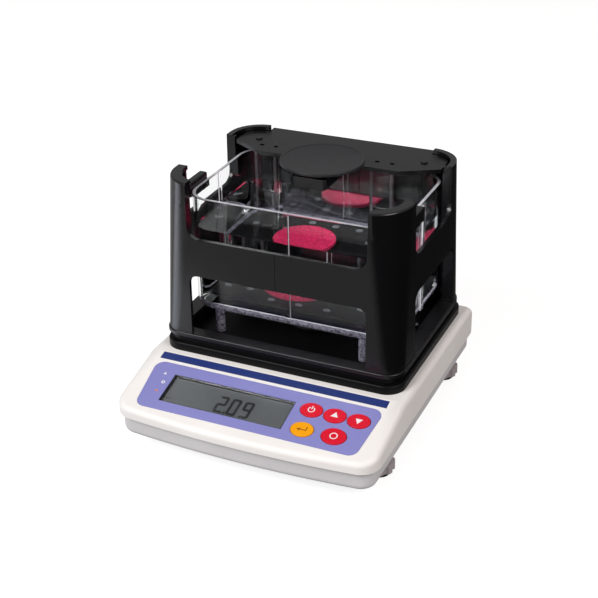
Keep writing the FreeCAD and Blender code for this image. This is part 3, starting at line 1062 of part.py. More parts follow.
def build_tank_guides():
    """Blocks on the front posts that locate the tank rim, one each side."""
    near_x = TANK_HALF_WIDTH + TANK_GUIDE_GAP
    far_x = TRAY_HALF_WIDTH - inner_inset(GUIDE_TOP_Z) - GUIDE_WALL_GAP
    block = box(near_x, far_x, SIDE_WINDOW_FRONT_Y, SIDE_WINDOW_FRONT_Y + GUIDE_LENGTH,
                GUIDE_BOTTOM_Z, GUIDE_TOP_Z)
    block = fillet_where(block, GUIDE_EDGE_RADIUS, lambda e: e.BoundBox.ZMin > GUIDE_TOP_Z - 0.1)
    return both_sides(block)


# ================================================================ tank
def tank_block(inset, z0, z1):
    return rounded_block(-TANK_HALF_WIDTH + inset, TANK_HALF_WIDTH - inset, TANK_FRONT_Y + inset,
                         TANK_REAR_Y - inset, z0, z1, TANK_CORNER_RADIUS - inset)


def build_tank():
    tank = tank_block(0.0, TANK_BOTTOM_Z, TANK_TOP_Z)
    tank = fillet_where(tank, TANK_EDGE_RADIUS, lambda e: e.BoundBox.ZMax < TANK_BOTTOM_Z + 0.1)
    inner_z = TANK_BOTTOM_Z + TANK_FLOOR
    inside = tank_block(TANK_WALL, inner_z, TANK_TOP_Z + 5)
    inside = fillet_where(inside, TANK_INNER_EDGE_RADIUS, lambda e: e.BoundBox.ZMax < inner_z + 0.1)
    middle_y = (TANK_FRONT_Y + TANK_REAR_Y) / 2
    half = TANK_RIB_WIDTH / 2
    z0, z1 = TANK_BOTTOM_Z + TANK_RIB_MARGIN, TANK_TOP_Z - 1.0
    side_reach, middle_reach = TANK_HALF_WIDTH + TANK_RIB_PROUD, TANK_WALL / 2
    near_x = TANK_HALF_WIDTH - middle_reach
    ribs = both_sides(box(near_x, side_reach, middle_y - half, middle_y + half, z0, z1))
    ribs.append(box(-half, half, TANK_FRONT_Y - TANK_RIB_PROUD, TANK_FRONT_Y + middle_reach, z0, z1))
    ribs.append(box(-half, half, TANK_REAR_Y - middle_reach, TANK_REAR_Y + TANK_RIB_PROUD, z0, z1))
    return solid_of(tank.cut(inside).fuse(ribs))


def build_tank_supports():
    return [cylinder(x + SUPPORT_SHIFT, y, RECESS_FLOOR_Z, TANK_BOTTOM_Z, SUPPORT_RADIUS)
            for x, y in four_corners(SUPPORT_X, SUPPORT_FRONT_Y, SUPPORT_REAR_Y)]


# ================================================================ measuring stage
STAGE_BOTTOM_Z = STAGE_TOP_Z - STAGE_THICKNESS
PLATFORM_Z = RECESS_FLOOR_Z + PLATFORM_LIFT
PLATFORM_BAR_FRONT_Y = LEG_FRONT_Y - PLATFORM_BAR_MARGIN
PLATFORM_BAR_HALF_LENGTH = LEG_X + LEG_HEAD_HALF_WIDTH
HANGER_PLACES = [HANGER_SHIFT + side * HANGER_X for side in (-1, 1)]
HOOK_PLACES = [x + offset for x in HANGER_PLACES for offset in (-HOOK_OFFSET, HOOK_OFFSET)]


def build_top_plate():
    """D-shaped plate that lies between the rear corners of the frame, with the arm of the dish."""
    rear = TRAY_REAR_Y
    wide = frame_prism(FRAME_WALL + REAR_LEDGE_WIDTH + STAGE_GAP, STAGE_BOTTOM_Z, STAGE_TOP_Z,
                       REAR_POST_TOP_Z)
    wide = wide.common(box(-STAGE_HALF_WIDTH, STAGE_HALF_WIDTH, STAGE_FRONT_Y, rear, 0, FAR))
    tongue_half = REAR_RIM_X - STAGE_GAP
    back = box(-tongue_half, tongue_half, STAGE_FRONT_Y, rear, STAGE_BOTTOM_Z, STAGE_TOP_Z)
    plate = wide.fuse(back)
    chamfer = polygon_face([V(STAGE_FRONT_HALF_WIDTH, STAGE_FRONT_Y, 0), V(STAGE_HALF_WIDTH, STAGE_SIDE_Y, 0),
                            V(FAR, STAGE_SIDE_Y, 0), V(FAR, -FAR, 0),
                            V(STAGE_FRONT_HALF_WIDTH, -FAR, 0)]).extrude(V(0, 0, FAR))
    plate = plate.cut(both_sides(chamfer))
    arm = rounded_block(-ARM_HALF_WIDTH, ARM_HALF_WIDTH, ARM_FRONT_Y, STAGE_FRONT_Y + ARM_ROOT,
                        STAGE_TOP_Z - ARM_DEPTH, STAGE_TOP_Z, ARM_CORNER_RADIUS)
    plate = plate.fuse(arm)
    half_hole = HOOK_HOLE_SIZE / 2
    cuts = [box(x - half_hole, x + half_hole, HANGER_Y - half_hole, HANGER_Y + half_hole,
                STAGE_BOTTOM_Z - 1, STAGE_TOP_Z + 1) for x in HOOK_PLACES]
    cuts.append(cylinder(0, DISH_Y, STAGE_TOP_Z - DISH_SPIGOT_LENGTH - DISH_GAP, STAGE_TOP_Z + 1,
                         DISH_SPIGOT_RADIUS + DISH_GAP))
    for side in (-1, 1):
        cuts.append(cylinder(side * LEG_X, STAGE_SCREW_Y, STAGE_BOTTOM_Z - 1, STAGE_TOP_Z + 1,
                             STAGE_SCREW_RADIUS + SCREW_HOLE_GAP))
    return solid_of(plate.cut(cuts))


def build_dish():
    bottom = DISH_TOP_Z - DISH_THICKNESS
    dish = cylinder(0, DISH_Y, bottom, DISH_TOP_Z, DISH_RADIUS)
    dish = fillet_where(dish, DISH_EDGE_RADIUS,
                        lambda e: e.BoundBox.XLength > 2 * DISH_RADIUS - 1 and e.BoundBox.ZLength < 0.1)
    dish = dish.cut(cylinder(0, DISH_Y, DISH_TOP_Z - DISH_HOLLOW, DISH_TOP_Z + 1, DISH_RADIUS - DISH_RIM))
    hub = cylinder(0, DISH_Y, STAGE_TOP_Z, bottom + OVERLAP, DISH_HUB_RADIUS)
    spigot = cylinder(0, DISH_Y, STAGE_TOP_Z - DISH_SPIGOT_LENGTH, STAGE_TOP_Z + OVERLAP, DISH_SPIGOT_RADIUS)
    return solid_of(dish.fuse([hub, spigot]))


def build_hanger(x):
    """Channel-shaped hanger with two hooks in the plate's square holes; it carries the immersed pan."""
    half, web = HANGER_WIDTH / 2, HANGER_THICKNESS / 2
    low = PAN_BOTTOM_Z + PAN_THICKNESS
    back = box(x - half, x + half, HANGER_Y - web, HANGER_Y + web, low, STAGE_BOTTOM_Z)
    parts = []
    for side in (-1, 1):
        outer = x + side * half
        inner = outer - side * HANGER_THICKNESS
        parts.append(box(min(inner, outer), max(inner, outer), HANGER_Y - HANGER_FLANGE, HANGER_Y, low,
                         STAGE_BOTTOM_Z))
        hook = x + side * HOOK_OFFSET
        reach = HOOK_SIZE / 2
        parts.append(box(hook - reach, hook + reach, HANGER_Y - reach, HANGER_Y + reach,
                         STAGE_BOTTOM_Z - OVERLAP, STAGE_TOP_Z - HOOK_DROP))
    return solid_of(back.fuse(parts))


def pip_places():
    """Centres of the pips; rows and pips that a smaller pan has no room for are left out."""
    edge = PIP_RADIUS + PIP_MARGIN
    return [(side * x, PAN_REAR_Y - back) for back, row in PIP_ROWS.items() for x in row
            for side in ((1,) if x == 0 else (-1, 1))
            if x + edge <= PAN_HALF_WIDTH and PAN_REAR_Y - back - edge >= PAN_FRONT_Y]


def build_immersed_pan():
    top = PAN_BOTTOM_Z + PAN_THICKNESS
    pan = rounded_block(-PAN_HALF_WIDTH, PAN_HALF_WIDTH, PAN_FRONT_Y, PAN_REAR_Y, PAN_BOTTOM_Z, top,
                        PAN_CORNER_RADIUS)
    pan = pan.cut([cylinder(x, y, PAN_BOTTOM_Z - 1, top + 1, PIP_RADIUS) for x, y in pip_places()])
    pips = []
    for x, y in pip_places():
        pip = cylinder(x, y, PAN_BOTTOM_Z, top + PIP_PROUD, PIP_RADIUS)
        pips.append(fillet_where(pip, 0.5, lambda e: e.BoundBox.ZMin > top + PIP_PROUD - 0.01))
    return pan, pips


def build_leg():
    """Right-hand leg: a flat column behind the tank, with a head that is screwed under the plate."""
    foot = PLATFORM_Z + PLATFORM_THICKNESS
    middle_y = (LEG_FRONT_Y + LEG_REAR_Y) / 2
    column = box(LEG_X - LEG_HALF_WIDTH, LEG_X + LEG_HALF_WIDTH, LEG_FRONT_Y, LEG_REAR_Y, foot, STAGE_BOTTOM_Z)
    head = box(LEG_X - LEG_HEAD_HALF_WIDTH, LEG_X + LEG_HEAD_HALF_WIDTH, LEG_HEAD_FRONT_Y, LEG_REAR_Y - 1.0,
               STAGE_BOTTOM_Z - LEG_HEAD_THICKNESS, STAGE_BOTTOM_Z)
    socket = cylinder(LEG_X, middle_y, foot - 1, foot + PEG_HEIGHT + PEG_GAP, PEG_RADIUS + PEG_GAP)
    hole = cylinder(LEG_X, STAGE_SCREW_Y, STAGE_BOTTOM_Z - LEG_HEAD_THICKNESS - 1, STAGE_BOTTOM_Z + 1,
                    STAGE_SCREW_RADIUS + THREAD_GAP)
    return solid_of(column.fuse(head).cut([socket, hole]))


def build_stage_screws():
    return [solid_of(cylinder(side * LEG_X, STAGE_SCREW_Y, STAGE_TOP_Z, STAGE_TOP_Z + STAGE_SCREW_HEAD_HEIGHT,
                              STAGE_SCREW_HEAD_RADIUS).fuse(
        cylinder(side * LEG_X, STAGE_SCREW_Y, STAGE_BOTTOM_Z - LEG_HEAD_THICKNESS, STAGE_TOP_Z + OVERLAP,
                 STAGE_SCREW_RADIUS))) for side in (-1, 1)]


def build_sample():
    bottom = PAN_BOTTOM_Z + PAN_THICKNESS
    disc = cylinder(SAMPLE_X, SAMPLE_Y, bottom, bottom + SAMPLE_THICKNESS, SAMPLE_RADIUS)
    return fillet_where(disc, SAMPLE_EDGE_RADIUS,
                        lambda e: e.BoundBox.XLength > SAMPLE_RADIUS and e.BoundBox.ZLength < 0.1)


# ================================================================ the nodes
os.makedirs("parts", exist_ok=True)

save("lower_case", build_lower_case())
save("upper_cover", build_upper_cover())
panel_overlay, title_strip = build_panel_sheets()
save("panel_overlay", panel_overlay)
save("title_strip", title_strip)
display_frame, display_window, lcd_module = build_display()
save("display_frame", display_frame)
save("display_window", display_window)
save("lcd_module", lcd_module)
for key_name, key_place in KEYS.items():
    save(key_name, build_key(*key_place))
key_board, key_switches, key_board_screws = build_key_board()
save("key_board", key_board)
save("key_switches", key_switches)
main_board, board_components, main_board_screws = build_main_board()
save("main_board", main_board)
save("board_components", board_components)
load_cell_plate, plate_screws, overload_stop = build_cell_plate()
save("load_cell_plate", load_cell_plate)
save("overload_stop", overload_stop)
save("board_screws", key_board_screws + main_board_screws + plate_screws)
save("dc_jack", build_dc_jack())
ribbon_cable, sensor_cable = build_cables()
save("ribbon_cable", ribbon_cable)
save("sensor_cable", sensor_cable)

for foot_name, (foot_x, foot_y) in FEET.items():
    foot_wheel, foot_pad = build_foot(foot_x, foot_y)
    save("foot_wheel_" + foot_name, foot_wheel)
    save("foot_pad_" + foot_name, foot_pad)
save("foot_inserts", build_foot_inserts())
save("case_screws", build_case_screws())

save("load_cell", build_load_cell())
save("spindle", build_spindle())
save("weighing_platform", build_platform())

save("tray", build_tray())
save("tray_screws", build_tray_screws())
for piece_name, piece in build_frame().items():
    save(piece_name, piece)
save("frame_screws", build_frame_screws())
save("tank_guides", build_tank_guides())

save("tank", build_tank())
save("tank_supports", build_tank_supports())

save("top_plate", build_top_plate())
save("dish", build_dish())
save("hanger_left", build_hanger(HANGER_PLACES[0]))
save("hanger_right", build_hanger(HANGER_PLACES[1]))
immersed_pan, pan_pips = build_immersed_pan()
save("immersed_pan", immersed_pan)
save("pan_pips", pan_pips)
leg_right = build_leg()
save("leg_right", leg_right)
save("leg_left", mirrored_x(leg_right))
save("stage_screws", build_stage_screws())
save("sample_disc", build_sample())
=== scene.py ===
"""Looks of a benchtop density meter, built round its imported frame.

The meter is an electronic balance with a sloped key panel. A black frame on it surrounds a clear
water tank, and a stage above the tank carries a weighing dish and a pan that hangs in the water.
"""

from __future__ import annotations

import json
import logging
import math
from collections.abc import Callable, Iterable
from dataclasses import dataclass
from enum import Enum
from functools import cache

import bmesh
import bpy
from bmesh.types import BMEdge, BMesh, BMFace, BMVert
from mathutils import Matrix, Vector

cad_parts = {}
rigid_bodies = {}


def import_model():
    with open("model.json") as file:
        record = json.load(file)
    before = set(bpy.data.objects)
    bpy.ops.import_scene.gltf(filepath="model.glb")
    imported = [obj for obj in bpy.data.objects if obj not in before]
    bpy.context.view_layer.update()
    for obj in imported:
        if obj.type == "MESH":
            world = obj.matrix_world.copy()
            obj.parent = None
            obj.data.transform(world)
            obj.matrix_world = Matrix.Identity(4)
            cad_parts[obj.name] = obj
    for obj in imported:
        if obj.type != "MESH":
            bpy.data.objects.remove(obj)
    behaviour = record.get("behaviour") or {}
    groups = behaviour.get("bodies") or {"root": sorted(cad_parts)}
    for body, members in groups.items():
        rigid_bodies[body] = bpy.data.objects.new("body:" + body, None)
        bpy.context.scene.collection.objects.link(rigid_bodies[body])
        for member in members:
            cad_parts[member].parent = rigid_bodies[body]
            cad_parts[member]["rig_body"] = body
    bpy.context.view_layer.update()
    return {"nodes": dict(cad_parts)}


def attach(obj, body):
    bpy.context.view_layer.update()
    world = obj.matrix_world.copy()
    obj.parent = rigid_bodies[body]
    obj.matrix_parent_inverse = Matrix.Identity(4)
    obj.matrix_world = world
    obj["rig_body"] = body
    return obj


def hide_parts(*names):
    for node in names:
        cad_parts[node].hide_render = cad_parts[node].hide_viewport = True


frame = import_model()

LOG = logging.getLogger("density_meter")
MM = 0.001                      # metres in a millimetre; new shapes are drawn in millimetres
Colour = tuple[float, float, float, float]
Point = tuple[float, float, float]
Place = tuple[float, float]
WHITE: Colour = (1.0, 1.0, 1.0, 1.0)
LINES = 3.18                    # lines to the metre in a line pattern of scale 1
UNSTRETCHED: Point = (1.0, 1.0, 1.0)


# ---- shader maths
def _operator(operation: str, swapped: bool = False) -> Callable[[Value, Operand], Value]:
    """Makes an arithmetic method of Value.

    Args:
        operation: What its Math node does.
        swapped: Whether the other operand comes first.

    Returns:
        The method.
    """
    def work(value: Value, other: Operand) -> Value:
        """Adds the Math node."""
        sockets = dict(enumerate((other, value) if swapped else (value, other)))
        return value.graph.node("ShaderNodeMath", {"operation": operation}, sockets)

    return work


class Value:
    """An output of a shader node that can be used in arithmetic."""

    def __init__(self, graph: Graph, socket: bpy.types.NodeSocket | None) -> None:
        """Keeps the socket and the graph that it belongs to."""
        self.graph = graph
        self.socket = socket

    __add__, __radd__ = _operator("ADD"), _operator("ADD", True)
    __sub__, __rsub__ = _operator("SUBTRACT"), _operator("SUBTRACT", True)
    __mul__, __rmul__ = _operator("MULTIPLY"), _operator("MULTIPLY", True)
    __pow__ = _operator("POWER")

    def between(self, low: float, high: float) -> Value:
        """Stretches the range from low to high to 0 to 1, and clamps what lies outside it."""
        return self.graph.node("ShaderNodeMapRange", {"clamp": True},
                               {"Value": self, "From Min": low, "From Max": high})


Operand = Value | float
Input = Value | float | Colour


class Graph:
    """The node tree of a material or of the surroundings."""

    def __init__(self, owner: bpy.types.Material | bpy.types.World) -> None:
        """Empties the tree.

        Args:
            owner: The material or world that it belongs to.
        """
        owner.use_nodes = True
        self.tree = owner.node_tree
        self.tree.nodes.clear()

    def node(self, kind: str, settings: dict | None = None, inputs: dict | None = None,
             output: int | str = 0) -> Value:
        """Adds a node.

        Args:
            kind: The node's type.
            settings: Properties that are set first.
            inputs: Values or links of its sockets, by name or number.
            output: The output that is wanted.

        Returns:
            The output as a value, which is empty where the node has none.
        """
        made = self.tree.nodes.new(kind)
        for key, setting in (settings or {}).items():
            setattr(made, key, setting)
        for key, given in (inputs or {}).items():
            if isinstance(given, Value):
                self.tree.links.new(given.socket, made.inputs[key])
            else:
                made.inputs[key].default_value = given
        return Value(self, made.outputs[output] if made.outputs else None)

    def place(self, stretch: Point = UNSTRETCHED) -> Value:
        """Gives the piece's own coordinates, stretched for a pattern."""
        own = self.node("ShaderNodeTexCoord", output="Object")
        return self.node("ShaderNodeMapping", {}, {"Vector": own, "Scale": stretch})

    def axis(self, name: str) -> Value:
        """Gives one of the piece's own coordinates in metres."""
        return self.node("ShaderNodeSeparateXYZ", {}, {0: self.place()}, name)

    def noise(self, scale: float, detail: float = 2.0, roughness: float = 0.5,
              distortion: float = 0.0, stretch: Point = UNSTRETCHED) -> Value:
        """Adds cloudy noise.

        Args:
            scale: How many clouds there are to the metre.
            detail: How many finer layers lie on them.
            roughness: How strong those are.
            distortion: How far the clouds are warped.
            stretch: How they are squeezed along each axis.

        Returns:
            The noise, from 0 to 1.
        """
        return self.node("ShaderNodeTexNoise", {}, {
            "Vector": self.place(stretch), "Scale": scale, "Detail": detail,
            "Roughness": roughness, "Distortion": distortion})

    def cells(self, scale: float, feature: str = "F1") -> Value:
        """Adds a cell pattern that gives the distance from the middle of a cell."""
        return self.node("ShaderNodeTexVoronoi", {"feature": feature},
                         {"Vector": self.place(), "Scale": scale})

    def lines(self, scale: float, direction: str = "X") -> Value:
        """Adds parallel soft lines across one direction."""
        return self.node("ShaderNodeTexWave", {"bands_direction": direction},
                         {"Vector": self.place(), "Scale": scale}, "Fac")

    def blend(self, share: Input, first: Input, second: Input) -> Value:
        """Mixes two colours by a share of the second."""
        return self.node("ShaderNodeMix", {"data_type": "RGBA"}, {0: share, 6: first, 7: second}, 2)

    def surface(self, colour: Value, roughness: Value, height: Value, depth: float,
                gloss: float = 0.5, more: dict | None = None) -> Value:
        """Adds the main surface shader.

        Args:
            colour: Its colour.
            roughness: Its roughness.
            height: Height of its relief, where 1 is the full depth.
            depth: How many metres deep the relief is.
            gloss: Strength of its reflection, where 0.5 is that of most plastics.
            more: Other inputs.

        Returns:
            The shader.
        """
        relief = self.node("ShaderNodeBump", {}, {"Height": height, "Distance": depth})
        return self.node("ShaderNodeBsdfPrincipled", {}, {
            "Base Color": colour, "Roughness": roughness, "Normal": relief,
            "Specular IOR Level": gloss, **(more or {})})

    def clear_to_lamps(self, shader: Value, tint: Colour) -> Value:
        """Lets light through a clear shader on its way to other pieces.

        Args:
            shader: The refracting shader that the eye sees.
            tint: What is left of the light that goes through.

        Returns:
            The mixed shader.
        """
        shadow = self.node("ShaderNodeLightPath", output="Is Shadow Ray")
        through = self.node("ShaderNodeBsdfTransparent", {}, {"Color": tint})
        return self.node("ShaderNodeMixShader", {}, {0: shadow, 1: shader, 2: through})

    def finish(self, shader: Value, output: str = "ShaderNodeOutputMaterial") -> None:
        """Joins the shader to the output."""
        self.node(output, {}, {"Surface": shader})


def paint(red: int, green: int, blue: int) -> Colour:
    """Gives the linear colour of a paint.

    Args:
        red: Red from 0 to 255, as a screen shows it.
        green: Green from 0 to 255.
        blue: Blue from 0 to 255.

    Returns:
        The colour as shaders use it.
    """
    def linear(channel: int) -> float:
        """Takes the screen's curve off one channel."""
        share = channel / 255
        return share / 12.92 if share <= 0.04045 else ((share + 0.055) / 1.055) ** 2.4

    return linear(red), linear(green), linear(blue), 1.0


# ---- finishes
class Finish:
    """What a surface is made of.

    The recipes below mix their patterns by shares. A noise is given by its clouds to the metre,
    its detail, its roughness and its warp.
    """

    def draw(self, graph: Graph) -> Value:
        """Draws the surface shader in a graph, and gives it."""
        raise NotImplementedError


@dataclass(frozen=True)
class Moulded(Finish):
    """Injection-moulded plastic with an even spark-eroded grain."""

    colour: Colour
    shade: Colour
    roughness: float = 0.45
    gloss: float = 0.5
    grain: float = 1500.0
    depth: float = 0.02 * MM
    matte_below: float = 0.0
    matte: float = 0.0
    matte_run: float = 2 * MM

    def draw(self, graph: Graph) -> Value:
        """Draws the shader.

        Args:
            graph: Where it is drawn.

        Returns:
            The shader.
        """
        grain = graph.noise(self.grain, 3.0, 0.6)
        flow = graph.noise(11.0, 4.0, 0.55, 0.8)
        rub = graph.noise(190.0, 6.0, 0.7)
        drift = (flow * 0.75 + grain * 0.25).between(0.38, 0.66)
        roughness = self.roughness + (rub - 0.5) * 0.14 + (grain - 0.5) * 0.12
        if self.matte:
            low = graph.axis("Z").between(self.matte_below, self.matte_below - self.matte_run)
            roughness = roughness + low * self.matte
        height = grain + graph.cells(self.grain * 0.7) * 0.35
        return graph.surface(graph.blend(drift, self.colour, self.shade), roughness, height,
                             self.depth, self.gloss)


@dataclass(frozen=True)
class PrintedFilm(Finish):
    """Polyester panel film, printed from behind, with a velvet face."""

    colour: Colour
    shade: Colour
    roughness: float = 0.38
    gloss: float = 0.42
    velvet: float = 2600.0
    depth: float = 0.012 * MM

    def draw(self, graph: Graph) -> Value:
        """Draws the shader.

        Args:
            graph: Where it is drawn.

        Returns:
            The shader.
        """
        screen = graph.noise(420.0, 3.0, 0.6)
        cloud = graph.noise(16.0, 3.0, 0.5, 0.5)
        drift = (cloud * 0.8 + screen * 0.2).between(0.36, 0.68)
        roughness = self.roughness + (screen - 0.5) * 0.12 + (cloud - 0.5) * 0.1
        return graph.surface(graph.blend(drift, self.colour, self.shade), roughness,
                             graph.cells(self.velvet), self.depth, self.gloss)


@dataclass(frozen=True)
class Clear(Finish):
    """Clear plastic or water, with a faint ripple."""

    tint: Colour
    index: float = 1.49
    ripple: float = 0.004 * MM
    ripple_scale: float = 60.0
    haze: float = 0.012
    shadow: Colour = (0.965, 0.97, 0.975, 1.0)
    shine: float = 0.3

    def tint_where_clean(self) -> Colour:
        """Gives the tint halfway to plain white."""
        red, green, blue = ((1.0 + channel) / 2 for channel in self.tint[:3])
        return red, green, blue, 1.0

    def draw(self, graph: Graph) -> Value:
        """Draws the shader.

        Args:
            graph: Where it is drawn.

        Returns:
            The shader.
        """
        swell = graph.noise(self.ripple_scale, 2.0, 0.45)
        smear = graph.noise(34.0, 4.0, 0.6)
        colour = graph.blend(smear.between(0.3, 0.7), self.tint, self.tint_where_clean())
        shader = graph.surface(colour, self.haze + smear * 0.02, swell, self.ripple, more={
            "IOR": self.index, "Transmission Weight": 1.0,
            "Specular Tint": (self.shine, self.shine, self.shine, 1.0)})
        return graph.clear_to_lamps(shader, self.shadow)


@dataclass(frozen=True)
class PaintedEdgeHighlight(Finish):
    """Narrow edge of a clear wall: partly clear, and partly a whitish painted highlight in streaks,
    which stands in for the light that runs inside the wall.
    """

    bright: Colour
    dull: Colour
    clear_share: float = 0.4
    streaks: float = 140.0
    depth: float = 0.01 * MM
    index: float = 1.49
    shadow: Colour = (0.9, 0.9, 0.9, 1.0)

    def draw(self, graph: Graph) -> Value:
        """Draws the shader.

        Args:
            graph: Where it is drawn.

        Returns:
            The shader.
        """
        streak = graph.noise(self.streaks, 4.0, 0.65)
        # Painted highlight: streaks between the bright and the dull colour.
        colour = graph.blend(streak.between(0.35, 0.65), self.bright, self.dull)
        shader = graph.surface(colour, 0.18 + streak * 0.12, streak, self.depth, more={
            "IOR": self.index, "Transmission Weight": self.clear_share})
        return graph.clear_to_lamps(shader, self.shadow)


@dataclass(frozen=True)
class Metal(Finish):
    """Turned, milled or rolled metal with fine tool marks along one axis."""

    colour: Colour
    shade: Colour
    roughness: float = 0.32
    marks: Point = (1.0, 40.0, 1.0)
    depth: float = 0.01 * MM

    def draw(self, graph: Graph) -> Value:
        """Draws the shader.

        Args:
            graph: Where it is drawn.

        Returns:
            The shader.
        """
        brushed = graph.noise(90.0, 5.0, 0.6, stretch=self.marks)
        drift = (graph.noise(70.0, 4.0, 0.6) * 0.6 + brushed * 0.4).between(0.35, 0.65)
        return graph.surface(graph.blend(drift, self.colour, self.shade),
                             self.roughness + (brushed - 0.5) * 0.22, brushed, self.depth,
                             more={"Metallic": 1.0})


@dataclass(frozen=True)
class SolderMask(Finish):
    """Circuit board: green lacquer over copper tracks."""

    lacquer: Colour
    track: Colour
    depth: float = 0.03 * MM

    def draw(self, graph: Graph) -> Value:
        """Draws the shader.

        Args:
            graph: Where it is drawn.

        Returns:
            The shader.
        """
        weave = graph.noise(900.0)
        tracks = graph.lines(320.0).between(0.55, 0.7) * graph.cells(120.0).between(0.35, 0.45)
        return graph.surface(graph.blend(tracks, self.lacquer, self.track), 0.28 + weave * 0.12,
                             tracks + weave * 0.2, self.depth)


@dataclass(frozen=True)
class LiquidCrystal(Finish):
    """Reflective display glass over a grey polariser, with painted shade that makes it a little
    lighter towards its far edge.
    """

    near: Colour
    far: Colour
    low_y: float
    high_y: float
    grid: float = 1250.0
    depth: float = 0.003 * MM

    def draw(self, graph: Graph) -> Value:
        """Draws the shader.

        Args:
            graph: Where it is drawn.

        Returns:
            The shader.
        """
        cloud = graph.noise(40.0, 3.0)
        # Painted shade: lighter towards the far edge.
        share = graph.axis("Y").between(self.low_y, self.high_y) * 0.8 + cloud * 0.2
        grid = graph.lines(self.grid) * 0.5 + graph.lines(self.grid, "Y") * 0.5
        return graph.surface(graph.blend(share, self.near, self.far), 0.3 + (cloud - 0.5) * 0.1,
                             grid, self.depth)


@dataclass(frozen=True)
class Rubber(Finish):
    """Matte rubber with a pebbled face."""

    colour: Colour
    shade: Colour
    roughness: float = 0.7
    pebbles: float = 900.0
    depth: float = 0.05 * MM
    gloss: float = 0.35

    def draw(self, graph: Graph) -> Value:
        """Draws the shader.

        Args:
            graph: Where it is drawn.

        Returns:
            The shader.
        """
        pebble = graph.cells(self.pebbles, "SMOOTH_F1")
        bloom = graph.noise(60.0, 5.0, 0.65)
        drift = (bloom * 0.4 + pebble * 0.8).between(0.35, 0.8)
        return graph.surface(graph.blend(drift, self.colour, self.shade),
                             self.roughness + (bloom - 0.5) * 0.2, 1.0 - pebble, self.depth,
                             self.gloss)


@dataclass(frozen=True)
class Ink(Finish):
    """Printed ink or a liquid-crystal bar, a little uneven."""

    colour: Colour
    shade: Colour
    roughness: float = 0.5
    gloss: float = 0.3
    depth: float = 0.006 * MM

    def draw(self, graph: Graph) -> Value:
        """Draws the shader.

        Args:
            graph: Where it is drawn.

        Returns:
            The shader.
        """
        stipple = graph.noise(1400.0, 3.0, 0.6)
        return graph.surface(graph.blend(stipple.between(0.35, 0.65), self.colour, self.shade),
                             self.roughness + (stipple - 0.5) * 0.15, stipple, self.depth,
                             self.gloss)


@dataclass(frozen=True)
class FlatCable(Finish):
    """Ribbon of insulated wires that run side by side."""

    colour: Colour
    groove: Colour
    pitch: float = 1.27 * MM
    depth: float = 0.15 * MM

    def draw(self, graph: Graph) -> Value:
        """Draws the shader.

        Args:
            graph: Where it is drawn.

        Returns:
            The shader.
        """
        wires = graph.lines(1.0 / (self.pitch * LINES))
        return graph.surface(graph.blend(wires ** 0.5, self.groove, self.colour),
                             0.45 + graph.noise(260.0, 4.0) * 0.15, wires, self.depth)


class Look(Enum):
    """Finishes of the object; those named like a slot of the record dress the frame's nodes."""

    COVER = "cover_white"
    CASE = "case_grey"
    PANEL = "panel_sheet"
    TITLE = "title_sheet"
    FRAME = "frame_black"
    PLATE = "plate_black"
    DISH = "dish_black"
    TANK = "clear_tank"
    HANGER = "clear_hanger"
    PANE = "clear_pane"
    DISPLAY = "lcd_grey"
    KEY_RED = "key_red"
    KEY_YELLOW = "key_yellow"
    PIP = "pip_white"
    SAMPLE = "sample_crimson"
    WHEEL = "wheel_grey"
    PAD = "pad_rubber"
    BOARD = "board_green"
    COMPONENT = "component_black"
    CELL = "cell_aluminium"
    STEEL_PLATE = "plate_steel"
    SCREW = "screw_steel"
    INSERT = "insert_brass"
    CABLE = "cable_grey"
    WATER = "water"
    WET_HANGER = "clear_hanger_in_water"
    # Painted highlights and glints on narrow edges of clear pieces:
    EDGE = "clear_edge"
    FAINT_EDGE = "faint_clear_edge"
    FOOT_EDGE = "mottled_clear_edge"
    WET_PLATE = "plate_in_water"
    TRAY = "tray_black"
    DIGIT = "display_bars"
    MARK_WHITE = "mark_white"
    MARK_BROWN = "mark_brown"
    MARK_ORANGE = "mark_orange"


